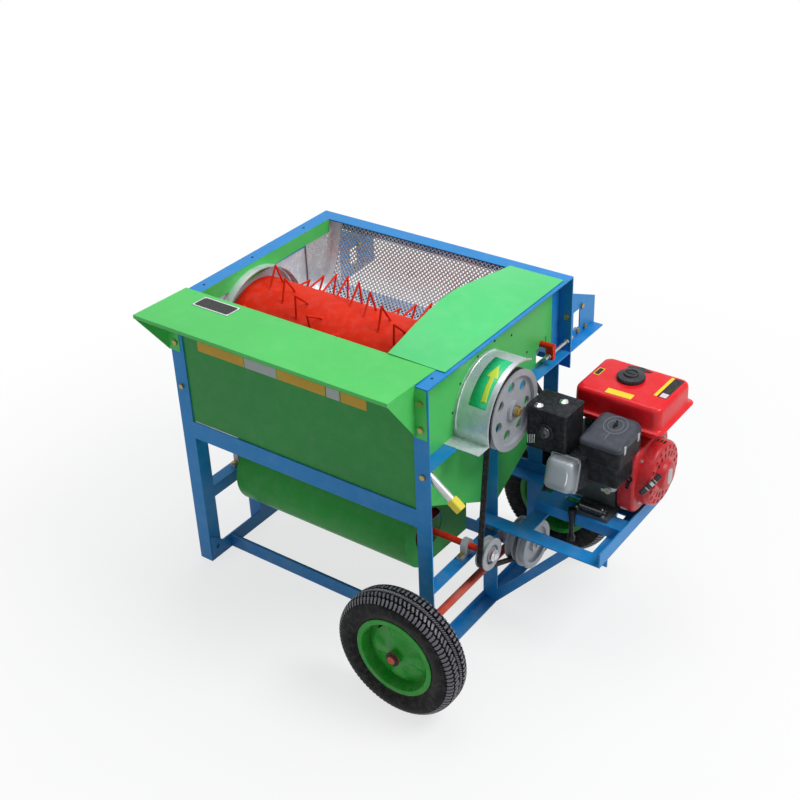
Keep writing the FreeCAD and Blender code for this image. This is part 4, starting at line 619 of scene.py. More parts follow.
def strip(path, x0, x1, thick):
    """Flat strip of even thickness: a path of y, z carried along X, walled square to its run."""
    path = np.asarray(path, float)
    run = np.gradient(path, axis=0)
    run /= np.linalg.norm(run, axis=1)[:, None]
    normal = np.stack([-run[:, 1], run[:, 0]], -1)
    loop = np.vstack([path, (path + normal * thick)[::-1], path[:1]])
    x = np.array([[x0], [x1]])
    body = np.stack(np.broadcast_arrays(x, loop[:, 0], loop[:, 1]), -1)
    shapes = [sheet_of(body)]
    for x_end in (x0, x1):
        near = np.stack([np.full(len(path), x_end), path[:, 0], path[:, 1]], -1)
        far = near + np.stack([np.zeros(len(path)), normal[:, 0] * thick, normal[:, 1] * thick], -1)
        shapes.append(sheet_of(np.stack([near, far])))
    return shapes


REAR_PATH = [(511.4, 636.2), (627.0, 667.2), (688.2, 848.0)]


class THRESHER_OT_screens(Operator):
    """Punch the rear screen, with its plain borders, and the screen under the drum"""

    bl_idname = "thresher.screens"
    bl_label = "Screens"

    def execute(self, context):
        sizes = context.scene.thresher_sizes
        pitch = sizes.screen_pitch * 1000.0
        path = smooth_line(REAR_PATH, 3)
        left, width = CHAMBER
        spot, length = line_map(path, left)
        perforated("rear_screen_mesh", spot, width, length, pitch, sizes.screen_hole, 1.2, "frame",
                   "zinc_screen", ("rear_screen",))
        fine = np.linspace(0.0, length, 60)
        line = spot(np.zeros(60), fine)[:, 1:]
        borders = []
        borders += strip(line[fine > length - 15.0], 45.6, 804.4, 1.6)
        borders += strip(line[fine < 12.0], 45.6, 804.4, 1.6)
        borders += strip(line, 45.6, 68.0, 1.7)
        borders += strip(line, 796.0, 804.4, 1.7)
        piece("rear_screen_border", borders, "frame", "zinc_sheet")

        def under(across, up):
            """Point that far along X and round the drum."""
            angle = math.radians(196.0) + up / SCREEN_R
            return np.stack([left + across, DRUM[0] + SCREEN_R * np.cos(angle),
                             DRUM[1] + SCREEN_R * np.sin(angle)], -1)

        perforated("concave_mesh", under, width, SCREEN_R * math.radians(156.0), 19.0, 0.66, 1.4, "frame",
                   "zinc_screen", ("concave_screen",))
        return {"FINISHED"}


class THRESHER_OT_end_trims(Operator):
    """Lay the green strip and the zinc corner strips inside the threshing chamber"""

    bl_idname = "thresher.end_trims"
    bl_label = "Chamber trims"

    def execute(self, context):
        y = np.linspace(6.0, 649.5, 40)
        low = 822.0 - 10.0 * (1 - y / 650.0) + 1.2 * np.sin(y / 60.0)
        face = np.stack([np.stack([np.full(40, 46.2), y, low], -1),
                         np.stack([np.full(40, 46.2), y, np.full(40, 860.4)], -1)])
        back = face.copy()
        back[..., 0] = 45.2
        loop = np.stack([face[0], face[1], back[1], back[0], face[0]])
        caps = [(loop[:4, k][[0, 1, 3, 2]], grid_faces(2, 2)) for k in (0, -1)]
        piece("left_trim_strip", [sheet_of(loop)] + caps, "frame", "panel_green")
        corner = soft_block(45.1, 46.0, 536.0, 650.0, 632.0, 820.0, 0.3, 0.2)
        post = soft_block(45.1, 46.3, 649.0, 690.0, 632.0, 856.0, 0.4, 0.3)
        piece("left_corner_strip", [corner, post], "frame", "bright_zinc")
        lower = soft_block(52.0, 208.0, 2.9, 3.9, 495.0, 499.5, 0.3, 0.2)
        piece("front_foot_strip", [lower], "frame", "zinc_sheet")
        return {"FINISHED"}


class THRESHER_OT_decals(Operator):
    """Lay the plain coloured stripes, the arrow and the blank plates"""

    bl_idname = "thresher.decals"
    bl_label = "Stripes and plates"

    def execute(self, context):
        bands = ((98.0, 262.0, "stripe_yellow"), (264.0, 372.0, "label_white"),
                 (374.0, 532.0, "stripe_yellow"), (536.0, 578.0, "label_white"),
                 (582.0, 662.0, "stripe_yellow"))
        for number, (x0, x1, finish) in enumerate(bands):
            band = soft_block(x0, x1, 3.62, 3.98, 738.0, 768.0, 0.8, 0.1, axis="y", steps=2)
            piece(f"front_band_{number}", [band], "frame", finish)
        angle = np.radians(np.linspace(88.0, 153.0, 50))
        radius = GUARD_SKIN
        label = []
        for x in (848.0, 899.0):
            label.append(np.stack([np.full(50, x), DRUM[0] + radius * np.cos(angle),
                                   DRUM[1] + radius * np.sin(angle)], -1))
        green = piece("guard_label", [sheet_of(np.stack(label))], "frame", "label_green")
        walled(green, STICKER)
        along_arrow = np.array([0.0, 0.04, 0.62, 0.621, 1.0])
        half_width = np.array([9.5, 8.0, 6.5, 17.0, 0.15])
        fine = np.sort(np.concatenate([np.linspace(0.0, 1.0, 40), along_arrow]))
        half = np.interp(fine, along_arrow, half_width)
        turn = np.radians(146.0 - fine * 46.0)
        side = np.linspace(-1.0, 1.0, 5)[:, None]
        arrow = np.stack([886.0 - 9.0 * fine + side * half,
                          DRUM[0] + (radius + 0.35) * np.cos(turn) + 0.0 * side,
                          DRUM[1] + (radius + 0.35) * np.sin(turn) + 0.0 * side], -1)
        yellow = piece("guard_arrow", [sheet_of(arrow)], "frame", "arrow_yellow")
        walled(yellow, STICKER)
        turn = np.radians(np.linspace(68.0, 186.0, 60))
        lip = np.stack([np.full(60, 819.0), DRUM[0] + 137.2 * np.cos(turn),
                        DRUM[1] + 137.2 * np.sin(turn)], -1)
        piece("guard_lip", [swept(lip, 2.2, 8)], "frame", "bright_zinc")
        self.plate_border()
        self.tank_labels()
        return {"FINISHED"}

    def plate_border(self):
        """Bright edge and rivets round the blank plate on the table, on the table's own slope."""
        slope = math.atan2(7.0, 200.0)

        def height(y):
            """Height of the plate's face."""
            return 861.0 + 7.0 * (90.0 - y) / 200.0 + 1.5 + 0.8

        outer = round_outline(62.5, 27.0, 3.0, 5)
        inner = round_outline(58.5, 23.0, 2.0, 5)
        rings = []
        for outline, lift in ((outer, 0.0), (outer, 0.5), (inner, 0.5), (inner, 0.0), (outer, 0.0)):
            x = 141.5 + outline[:, 0]
            y = 48.0 + outline[:, 1] * math.cos(slope)
            rings.append(np.stack([x, y, height(y) + lift - 0.05], -1))
        shapes = [sheet_of(np.stack(rings))]
        for x, y in ((84.0, 26.0), (199.0, 26.0), (84.0, 70.0), (199.0, 70.0)):
            shapes.append(dome("z", x, y, height(y), 1, 2.2, 1.2, 12))
        piece("plate_border", shapes, "frame", "bright_zinc")

    def tank_labels(self):
        """Plain patches on the tank's top, a yellow one, and a black one with a yellow edge."""
        def patch(middle_x, middle_y, half_x, half_y, turn, z):
            """Rectangle turned about its middle."""
            outline = round_outline(half_x, half_y, 1.2, 4)
            c, s = math.cos(turn), math.sin(turn)
            x = middle_x + outline[:, 0] * c - outline[:, 1] * s
            y = middle_y + outline[:, 0] * s + outline[:, 1] * c
            return slab(np.stack([x, y], -1)[:-1], "z", z - 0.3, z)

        tall = TANK_TOP
        piece("tank_patch_yellow", [patch(1090.0, 521.5, 37.0, 12.0, 0.03, tall),
                                    patch(1172.5, 613.0, 4.6, 52.0, -0.02, tall)],
              "frame", "stripe_bright")
        piece("tank_patch_black", [patch(1191.0, 613.0, 13.0, 53.0, -0.02, tall),
                                   patch(992.0, 594.0, 6.4, 16.5, 0.0, tall + 0.15)], "frame",
              "label_black")
        piece("tank_patch_gold", [patch(992.0, 594.0, 8.2, 18.8, 0.0, tall)], "frame",
              "stripe_bright")
        piece("tank_patch_pale", [patch(1192.0, 573.0, 9.4, 10.5, -0.02, tall + 0.15)], "frame",
              "label_pale")


# Wheels

WHEELS = {"front": (-160.0, -1, "front_wheel"), "rear": (640.0, 1, "rear_wheel")}


class THRESHER_OT_tyres(Operator):
    """Lay the block tread tyres on both wheels"""

    bl_idname = "thresher.tyres"
    bl_label = "Tyres"

    def execute(self, context):
        sizes = context.scene.thresher_sizes
        half = [(0.0, 180.0), (14.0, 179.6), (25.0, 178.0), (33.5, 174.0), (39.5, 167.5), (42.5, 160.0),
                (43.9, 150.0), (43.9, 138.0), (41.5, 127.0), (37.6, 119.5), (34.5, 115.0), (33.2, 108.0),
                (32.8, 101.0)]
        outline = smooth_line(half, 2)
        tread = outline[outline[:, 1] > 163.0]
        wall = outline[outline[:, 1] <= 163.0]
        run = np.concatenate([[0.0], np.cumsum(np.hypot(*np.diff(tread, axis=0).T))])
        even = np.linspace(0.0, run[-1], 22)
        tread = np.stack([np.interp(even, run, tread[:, 0]), np.interp(even, run, tread[:, 1])], -1)
        outline = np.vstack([tread, wall])
        outline = np.vstack([outline[::-1] * (-1, 1), outline[1:]])
        outline = np.vstack([outline, outline[:1]])
        for name, (middle, _, body) in WHEELS.items():
            self.tyre(name, middle, body, outline, sizes)
        return {"FINISHED"}

    def tyre(self, name, middle, body, outline, sizes):
        """Section turned round the axle. In the tread the radius drops by the groove depth where
        the zigzag ribs or the slanted cross grooves run."""
        count = sizes.tread_blocks
        angle = np.linspace(0.0, TURN, count * 16 + 1)[:, None]
        w = outline[:, 0][None] + 0.0 * angle
        radius = outline[:, 1][None] + 0.0 * angle
        share = w / 43.9
        phase = angle * count / TURN

        def edge(value, width, soft):
            """One where a value is within a width of nothing, with soft sides."""
            return np.clip((width - np.abs(value)) / soft, 0.0, 1.0)

        def wave(value):
            """Zigzag of one turn for each step of a value."""
            return 2.0 * np.abs(value - np.floor(value) - 0.5) - 0.5

        rib = edge(np.abs(share) - 0.16 - 0.05 * wave(phase), 0.045, 0.02)
        second = edge(np.abs(share) - 0.58 - 0.05 * wave(phase + 0.5), 0.035, 0.02)
        lean = 2.0 * phase + 0.9 * np.abs(share) + 0.25 * np.sin(TURN * share) + 0.5 * (share > 0)
        cross = edge(lean - np.floor(lean) - 0.5, 0.19, 0.08) * (np.abs(share) > 0.20)
        sipe = 0.5 * edge(wave(phase * 2.0 + 2.0 * share), 0.22, 0.1) * (np.abs(share) < 0.12)
        top = np.clip((radius - 162.0) / 4.0, 0.0, 1.0)
        depth = np.maximum.reduce([rib, second, cross, sipe]) * top * sizes.tread_depth * 1000.0
        lug = 0.9 * np.clip((np.abs(share) - 0.97) / 0.03, 0, 1) * edge(radius - 160.0, 9.0, 3.0)
        w = w * (1.0 - 0.012 * lug * cross)
        radius = radius - depth
        ridge = 0.7 * edge(radius - 131.0, 0.9, 0.8)
        w = w - np.sign(w) * ridge * (radius < 150.0)
        rings = np.stack([AXLE_X + radius * np.cos(angle), middle + w, AXLE_Z + radius * np.sin(angle)], -1)
        made = piece(name + "_tyre_tread", [sheet_of(rings)], body, "tyre_rubber",
                     (name + "_tyre",), crease=38.0)
        made.data.materials.append(FINISH["tread_rubber"])
        middles = np.empty(3 * len(made.data.polygons))
        made.data.polygons.foreach_get("center", middles)
        axle = place((AXLE_X, middle, AXLE_Z))
        reach = np.hypot(middles[0::3] - axle[0], middles[2::3] - axle[2]) * 1000.0
        out = np.abs(middles[1::3] - axle[1]) * 1000.0
        right = outline[: len(outline) // 2]
        right = right[(right[:, 0] < 0.0) & (right[:, 1] > 158.0)]
        untouched = np.interp(out, np.sort(-right[:, 0]), right[np.argsort(-right[:, 0]), 1])
        # Faces at the top of the blocks take the pale rubber: painted highlight on the tread.
        top = (reach > 164.0) & (reach > untouched - 1.6)
        made.data.polygons.foreach_set("material_index", top.astype(np.int32))


class THRESHER_OT_rims(Operator):
    """Press the dished rims with their lobes, hubs and bearing rings"""

    bl_idname = "thresher.rims"
    bl_label = "Rims"

    def execute(self, context):
        for name, (middle, outward, body) in WHEELS.items():
            self.rim(name, middle, outward, body)
        return {"FINISHED"}

    def rim(self, name, middle, outward, body):
        """Barrel turned from a closed section, and a disc whose face stands out in four lobes."""
        barrel = smooth_line([(-37.0, 97.0), (-37.0, 110.0), (-37.0, 114.0), (-34.0, 114.0),
                              (-34.0, 104.0), (-33.0, 100.0), (-8.0, 99.0), (8.0, 99.0), (33.0, 100.0),
                              (34.0, 104.0), (34.0, 114.0), (37.0, 114.0), (37.0, 110.0), (36.0, 102.0),
                              (32.0, 97.4), (8.0, 96.0), (-8.0, 96.0)], 1, closed=True)
        barrel = np.vstack([barrel, barrel[:1]])
        shapes = [turned(barrel * (1, 1) + (middle, 0.0), "y", AXLE_X, AXLE_Z, 96)]
        radius = np.array([17.0, 24.0, 29.0, 33.0, 38.0, 44.0, 52.0, 60.0, 68.0, 76.0, 82.0, 87.0, 91.0,
                           94.0, 96.6])
        rise = np.interp(radius, [17.0, 29.0, 36.0, 52.0, 80.0, 88.0, 96.6],
                         [24.0, 23.0, 19.0, 12.0, 9.0, 6.0, 4.0])
        swell = np.interp(radius, [30.0, 46.0, 70.0, 88.0, 96.0], [0.0, 6.0, 8.0, 3.0, 0.0])
        angle = np.linspace(0.0, TURN, 97)[:, None]
        lobes = np.clip(np.cos(4.0 * angle) * 0.9 + 0.35, 0.0, 1.0)
        lobes = lobes * lobes * (3.0 - 2.0 * lobes)
        face = rise + swell * lobes
        both = np.concatenate([face, (face - 3.0)[:, ::-1], face[:, :1]], 1)
        reach = np.concatenate([radius, radius[::-1], radius[:1]])
        disc = np.stack([AXLE_X + reach * np.cos(angle), middle + outward * both,
                         AXLE_Z + reach * np.sin(angle)], -1)
        shapes.append(sheet_of(disc))
        hub = [(-38.0, 11.1), (-38.0, 18.0), (-37.0, 19.0), (37.0, 19.0), (38.0, 18.0), (38.0, 11.1),
               (-38.0, 11.1)]
        shapes.append(turned(np.array(hub) + (middle, 0.0), "y", AXLE_X, AXLE_Z, 48))
        piece(name + "_rim_dish", shapes, body, "rim_green", (name + "_rim",),
              crease=40.0)
        valve_x = AXLE_X + 86.0 * math.cos(2.2)
        valve_z = AXLE_Z + 86.0 * math.sin(2.2)
        path = np.array([(valve_x, middle + outward * (4.0 + 4.4 * k), valve_z) for k in range(6)])
        piece(name + "_valve", [swept(path, [0.1, 4.0, 4.0, 3.0, 2.6, 2.4])], body,
              "tyre_rubber")
        for side in (-1, 1):
            label = "outer" if side == outward else "inner"
            start = middle + side * 41.4
            ring = np.array([(start, 11.3), (start, 20.3), (start + side * 1.0, 20.3),
                             (start + side * 1.6, 19.4), (start + side * 1.6, 11.3), (start, 11.3)])
            piece(f"{name}_{label}_washer", [turned(ring, "y", AXLE_X, AXLE_Z, 40)], "frame",
                  "black_metal")


# Drum, drive and bearings

class THRESHER_OT_drum_welds(Operator):
    """Lay a weld bead at both feet of every tooth"""

    bl_idname = "thresher.drum_welds"
    bl_label = "Drum welds"

    def execute(self, context):
        row, number, side = np.meshgrid(np.arange(TOOTH_ROWS), np.arange(ROW_TEETH), np.array([-1, 1]),
                                        indexing="ij")
        step = number + 0.5 * (row % 2)
        x = (TOOTH_FIRST + TOOTH_STEP * step).ravel()
        turn = np.radians(TOOTH_START + 360.0 / TOOTH_ROWS * row + TOOTH_TWIST * step
                          + FOOT_SPREAD * side).ravel()
        angle = np.linspace(0.0, TURN, 10)
        level = np.linspace(0.0, math.pi / 2, 4)
        spread = 6.4 * np.cos(level)[:, None] + 0.0 * angle
        lift = 3.0 * np.sin(level)[:, None] + 0.0 * angle
        lumps = 1.0 + 0.12 * np.sin(3.0 * angle)
        du, dv = spread * lumps * np.cos(angle), spread * lumps * np.sin(angle)
        out = DRUM_SKIN + lift
        y = DRUM[0] + out * np.cos(turn)[:, None, None] - dv * np.sin(turn)[:, None, None]
        z = DRUM[1] + out * np.sin(turn)[:, None, None] + dv * np.cos(turn)[:, None, None]
        px = x[:, None, None] + du + 0.0 * y
        points = np.stack([px, y, z], -1)
        count = points.shape[1] * points.shape[2]
        faces = grid_faces(points.shape[1], points.shape[2])
        faces = (faces[None] + count * np.arange(len(x))[:, None, None]).reshape(-1, 4)
        piece("drum_weld_beads", [(points.reshape(-1, 3), faces)], "drum", "drum_red")
        return {"FINISHED"}


class THRESHER_OT_bearing_caps(Operator):
    """Add the seals and grease nipples of the shaft bearings"""

    bl_idname = "thresher.bearing_caps"
    bl_label = "Bearing details"

    def execute(self, context):
        nipples = []
        for x in (21.0, 829.0):
            profile = [(696.0, 0.0), (696.0, 4.2), (699.0, 4.2), (699.5, 2.4), (703.0, 2.0), (704.0, 2.8),
                       (705.5, 1.8), (706.0, 0.0)]
            nipples.append(turned(profile, "z", x, DRUM[0], 12))
        piece("grease_nipples", nipples, "frame", "brass_bolt")
        seals = []
        for x, y, z, bore, outer in ((842.0, DRUM[0], DRUM[1], 15.4, 25.0),
                                     (878.0, 354.0, 216.0, 10.4, 17.0)):
            ring = [(x, bore), (x, outer), (x + 1.0, outer - 1.0), (x + 1.0, bore), (x, bore)]
            seals.append(turned(ring, "x", y, z, 40))
        piece("bearing_seals", seals, "frame", "black_plastic")
        for name, node, body, y, z, finish, radius in (
                ("drum_end_bolt", "drum_shaft", "drum", *DRUM, "brass_bolt", 11.0),
                ("fan_end_nut", "fan_rotor", "fan", *FAN, "bright_zinc", 11.5)):
            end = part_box(node)[1][0] * 1000.0 + ZERO[0]
            piece(name, hex_bolt("x", y, z, end - 0.2, 1, radius, 9.0), body, finish)
        return {"FINISHED"}


class THRESHER_OT_fasteners(Operator):
    """Add the small screws along the right rail and on the right end panel"""

    bl_idname = "thresher.fasteners"
    bl_label = "Small screws"

    def execute(self, context):
        rail = [dome("z", 828.0, y, FRAME_TOP, 1, 3.6, 1.8, 14)
                for y in (51.0, 110.0, 290.0, 344.0, 395.0, 500.0, 604.0)]
        rail += [dome("z", 22.0, y, FRAME_TOP, 1, 3.6, 1.8, 14) for y in (130.0, 330.0, 560.0)]
        piece("rail_screws", rail, "frame", "slot_black")
        marks = ((358.0, 812.0), (196.0, 767.0), (278.0, 805.0), (160.0, 700.0), (440.0, 790.0),
                 (520.0, 700.0))
        panel = [dome("x", y, z, 811.0, 1, 3.4, 1.8, 14) for y, z in marks]
        piece("panel_screws", panel, "frame", "slot_black")
        corner = [dome("z", x, y, TABLE_TOP, 1, 3.2, 1.4, 12) for x, y in ((690.0, 72.0), (727.0, 72.0))]
        corner += [dome("z", x, 78.0, TABLE_TOP, 1, 3.0, 1.3, 12) for x in (40.0, 330.0, 520.0)]
        piece("table_rivets", corner, "frame", "panel_green")
        return {"FINISHED"}


class THRESHER_OT_handles(Operator):
    """Make the carry handles: a pale tube and a square yellow grip"""

    bl_idname = "thresher.handles"
    bl_label = "Carry handles"

    def execute(self, context):
        for name, body, x, y, tilt in (
                ("front_right_handle", "front_right_carry", 829.0, 20.0, 36.6),
                ("front_left_handle", "front_left_carry", 21.0, 20.0, 90.0),
                ("rear_left_handle", "rear_left_carry", 21.0, 675.0, 90.0)):
            self.handle(name, body, x, y, tilt)
        return {"FINISHED"}

    def handle(self, name, body, x, y, tilt):
        """Open tube turned from its wall section, and a grip of round-cornered square levels."""
        z = HANDLE_Z
        wall = [(x - 10.3, 8.6), (x - 10.5, 9.5), (x - 10.3, 10.4), (x + 118.0, 10.4), (x + 118.6, 9.5),
                (x + 118.0, 8.6), (x - 10.3, 8.6)]
        tube = turned(wall, "x", y, z, 32)
        piece(name + "_tube", [leaned(tube, tilt, x, z)], body, "handle_grey",
              (name,), crease=40.0)
        levels = [(x + 86.5, 10.9, 10.9), (x + 87.2, 11.7, 11.7), (x + 89.0, 12.2, 12.2),
                  (x + 104.0, 12.4, 12.4), (x + 119.5, 12.2, 12.2), (x + 121.8, 11.6, 11.6),
                  (x + 122.8, 10.8, 10.8)]
        grip = stack(levels, "x", y, z, 5.0, 6)
        piece(name + "_grip", [leaned(grip, tilt, x, z)], body, "grip_yellow")


# Engine

class THRESHER_OT_fuel_tank(Operator):
    """Press the red fuel tank with its seam flange, and its ribbed cap"""

    bl_idname = "thresher.fuel_tank"
    bl_label = "Fuel tank"

    def execute(self, context):
        x, y, half_x, half_y = 1093.0, 590.5, 125.0, 93.5
        levels = [(558.4, 34.0), (559.5, 20.0), (563.0, 13.0), (570.0, 9.0), (580.0, 5.0), (589.4, 2.0),
                  (590.0, -10.2), (590.6, -10.9), (593.4, -10.9), (594.0, -10.2), (595.5, -4.5),
                  (599.0, -1.2), (606.0, 0.3), (622.0, 0.5), (640.0, 0.9), (648.0, 1.5), (652.5, 2.8),
                  (656.0, 5.2), (658.2, 8.6), (659.4, 13.0), (659.8, 18.0), (659.9, 60.0)]
        stages = [(z, half_x - inset, half_y - inset) for z, inset in levels]
        tank = stack(stages, "z", x, y, 20.0, 10)
        neck = turned([(655.0, 0.0), (655.0, 21.0), (660.0, 20.0), (661.0, 17.0), (667.0, 16.6),
                       (667.6, 15.5), (667.6, 0.0)], "z", *CAP, 40)
        strap = slab([(1052.0, 636.0), (1098.0, 636.0), (1096.0, 650.0), (1114.0, 662.0), (1084.0, 671.0),
                      (1066.0, 668.0), (1044.0, 660.0)], "z", 659.6, 661.2)
        piece("fuel_tank_shell", [tank, neck], "frame", "engine_red",
              ("fuel_tank",), crease=50.0)
        piece("tank_tag", [strap], "frame", "cap_black")
        self.cap(context.scene.thresher_sizes.cap_ribs)
        return {"FINISHED"}

    def cap(self, ribs):
        """Cap turned from its section, its skirt drawn in between the ribs by a raised cosine."""
        profile = np.array([(668.0, 17.3), (660.4, 17.5), (660.4, 36.4), (661.4, 37.8), (668.5, 37.8),
                            (670.8, 36.6), (672.0, 33.5), (673.6, 24.0), (674.2, 20.5), (678.0, 20.0),
                            (678.8, 19.0), (678.8, 16.8), (678.0, 16.0), (675.6, 15.4), (675.0, 0.0)])
        angle = np.linspace(0.0, TURN, ribs * 8 + 1)[:, None]
        radius = profile[:, 1][None] + 0.0 * angle
        outside = np.clip((radius - 34.5) / 2.0, 0.0, 1.0)
        radius = radius - 1.5 * outside * (0.5 + 0.5 * np.cos(ribs * angle)) ** 2
        skirt = np.stack([CAP[0] + radius * np.cos(angle), CAP[1] + radius * np.sin(angle),
                          profile[:, 0][None] + 0.0 * angle], -1)
        under = turned([(668.0, 17.3), (668.2, 0.0)], "z", *CAP, ribs * 8)
        bar = soft_block(CAP[0] - 12.0, CAP[0] + 12.0, CAP[1] - 2.5, CAP[1] + 2.5, 674.0, 677.4, 2.2, 1.0)
        piece("fuel_cap_ribbed", [sheet_of(skirt), under, bar], "tank_cap", "cap_black",
              ("fuel_cap",), crease=35.0)


class THRESHER_OT_air_cleaner(Operator):
    """Mould the air cleaner: a soft lid on a tapered case, a ring and a wing nut"""

    bl_idname = "thresher.air_cleaner"
    bl_label = "Air cleaner"

    def execute(self, context):
        lid = self.sloped(stack([(596.0, 57.5, 63.5), (598.0, 59.5, 65.5), (610.0, 59.2, 65.2),
                                 (618.0, 57.6, 63.6), (624.0, 54.4, 60.4), (628.6, 50.0, 56.0),
                                 (631.6, 44.0, 50.0), (632.8, 36.0, 42.0), (633.0, 20.0, 24.0)],
                                "z", 1125.1, 411.9, 15.0, 10))
        upper = soft_block(1066.2, 1184.0, 347.0, 477.0, 560.0, 604.0, 14.0, 6.0)
        case = soft_block(1091.6, 1183.2, 348.0, 476.4, 546.0, 599.0, 12.0, 4.0)
        front = soft_block(1093.0, 1182.4, 349.0, 438.5, 490.0, 560.0, 10.0, 6.0)
        clips = [soft_block(1183.2, 1186.0, y, y + 10.0, 586.0, 610.0, 1.2, 0.9) for y in (372.0, 446.0)]
        ribs = [soft_block(1184.0, 1185.6, 356.0 + 9.0 * k, 358.4 + 9.0 * k, 500.0, 545.0, 0.7, 0.5)
                for k in range(8)]
        piece("air_cleaner_case", [upper, case, front] + ribs, "frame",
              "black_plastic", ("air_cleaner",), crease=42.0)
        # The lid is lighter than the case of the same plastic: painted light on its top.
        piece("air_cleaner_lid", [lid], "frame", "lid_grey", crease=42.0)
        piece("air_cleaner_clips", clips, "frame", "steel")
        x, y, top = 1130.0, 427.0, 633.0
        angle = np.linspace(0.0, TURN, 61)
        rings = []
        for radius, size in ((31.0, 1.7), (20.0, 1.2)):
            section = np.linspace(0.0, TURN, 11)[:, None]
            rings.append(self.sloped(sheet_of(np.stack([
                x + (radius + size * np.cos(section)) * np.cos(angle),
                y + (radius + size * np.cos(section)) * np.sin(angle),
                top + size * np.sin(section) + 0.0 * angle], -1))))
        mark = np.array([(x, y - 32.0, top + 0.1), (x - 1.0, y - 44.0, top + 0.1),
                         (x - 2.0, y - 58.0, top - 0.4)])
        rings.append(self.sloped(swept(mark, [1.2, 1.3, 0.9], 8)))
        piece("air_cleaner_rings", rings, "frame", "ring_grey")
        stud = turned([(top - 4.0, 0.0), (top - 4.0, 9.0), (top - 0.6, 8.6), (top, 6.0), (top + 3.6, 5.0),
                       (top + 4.0, 3.0), (top + 9.0, 2.8), (top + 9.6, 0.0)], "z", x, y, 20)
        wings = [stack([(y + side * 3.0, 1.6, 2.4), (y + side * 7.0, 1.5, 5.6), (y + side * 10.5, 1.3, 5.0),
                        (y + side * 12.0, 0.8, 2.4)], "y", x, top + 5.0, 1.0, 4) for side in (-1, 1)]
        piece("air_cleaner_nut", [self.sloped(shape) for shape in [stud] + wings], "frame",
              "slot_black")
        return {"FINISHED"}

    def sloped(self, shape):
        """Lid leaning to the front: above its foot each point sinks by a share of its distance
        from the back."""
        points, faces = shape
        points = points.copy()
        high = np.clip((points[:, 2] - 604.0) / 29.0, 0.0, 1.2)
        points[:, 2] += high * (4.0 - 0.19 * (477.0 - points[:, 1]))
        return points, faces


class THRESHER_OT_muffler(Operator):
    """Dress the muffler with its louvred guard, studs and outlet ring"""

    bl_idname = "thresher.muffler"
    bl_label = "Muffler guard"

    def execute(self, context):
        ribs = []
        for k in range(3):
            y = 436.0 - 9.0 * k
            for x in (920.0, 958.0, 996.0):
                ribs.append(soft_block(x, x + 32.0, y, y + 3.6, 654.6, 656.8, 1.4, 0.9))
        for k in range(9):
            x = 958.0 + 7.4 * k
            ribs.append(soft_block(x, x + 3.2, 348.2, 350.4, 612.0, 645.0, 1.2, 0.7))
        for k in range(5):
            z = 545.0 + 8.0 * k
            ribs.append(soft_block(992.0, 1024.0, 348.4, 350.4, z, z + 3.6, 1.2, 0.7))
        for k in range(8):
            z = 556.0 + 10.0 * k
            ribs.append(soft_block(910.6, 912.6, 366.0, 432.0, z, z + 4.0, 1.2, 0.7))
        flange = stack([(653.6, 60.0, 49.3), (655.8, 60.0, 49.3)], "z", *MUFFLER, 8.0, 8)
        foot = stack([(534.6, 60.0, 49.3), (536.8, 60.0, 49.3)], "z", *MUFFLER, 8.0, 8)
        piece("muffler_guard", ribs + [flange, foot], "frame", "black_metal")
        # Bright strips on the guard's front: painted highlights on its louvres.
        slots = [soft_block(917.0 + 6.5 * k, 919.6 + 6.5 * k, 348.6, 350.3, 543.0 + 2.0 * k,
                            570.0 + 2.0 * k, 0.9, 0.5) for k in range(4)]
        piece("muffler_slots", slots, "frame", "bright_zinc")
        studs = []
        for x, y in ((940.0, 366.0), (986.0, 415.0)):
            studs.append(turned([(655.6, 0.0), (655.6, 12.0), (657.0, 12.4), (659.4, 10.6), (660.6, 6.0),
                                 (661.4, 5.4), (662.6, 3.4), (663.0, 0.0)], "z", x, y, 28))
        piece("muffler_studs", studs, "frame", "chrome")
        guard = np.array([(343.0, 15.2), (343.0, 22.0), (345.5, 25.0), (350.2, 26.0), (350.2, 15.2),
                          (343.0, 15.2)])
        lid = dome("y", *OUTLET, 343.0, -1, 17.0, 9.0, 32)
        piece("outlet_ring", [turned(guard, "y", *OUTLET, 32)], "frame", "black_metal")
        piece("outlet_dome", [lid], "frame", "dome_grey")
        return {"FINISHED"}


class THRESHER_OT_valve_cover(Operator):
    """Cast the valve cover with its bolts, and a bright curved rib on its face that is a painted highlight
    """

    bl_idname = "thresher.valve_cover"
    bl_label = "Valve cover"

    def execute(self, context):
        levels = [(340.4, 44.2, 49.6), (336.0, 44.2, 49.6), (334.8, 41.5, 46.5), (322.0, 40.5, 45.0),
                  (312.0, 39.5, 43.5), (305.5, 37.5, 41.0), (301.5, 34.0, 37.0), (299.0, 28.0, 31.0),
                  (298.4, 18.0, 20.0)]
        cover = stack(levels, "y", 1031.5, CRANK[1], 15.0, 10)
        # Bright curved rib on the cover's face: painted highlight at the edge of the cover's bulge.
        turn = np.linspace(1.15, -1.2, 24)
        path = np.stack([1040.0 + 20.0 * np.cos(turn), 299.0 + 5.0 * np.abs(np.sin(turn)) ** 2,
                         CRANK[1] + 36.0 * np.sin(turn)], -1)
        highlight_rib = swept(path, 1.9, 10)
        bolts = []
        for x in (993.5, 1069.5):
            for z in (CRANK[1] - 42.0, CRANK[1] + 42.0):
                bolts += hex_bolt("y", x, z, 335.6, -1, 3.8, 5.0)
        shapes = [tilted(shape, ENGINE_TILT, *CRANK) for shape in [cover]]
        piece("valve_cover_cast", shapes, "frame", "engine_silver",
              ("valve_cover",), crease=38.0)
        piece("valve_cover_rib", [tilted(highlight_rib, ENGINE_TILT, *CRANK)], "frame", "bright_zinc")
        piece("valve_cover_bolts", [tilted(shape, ENGINE_TILT, *CRANK) for shape in bolts], "frame",
              "steel")
        return {"FINISHED"}


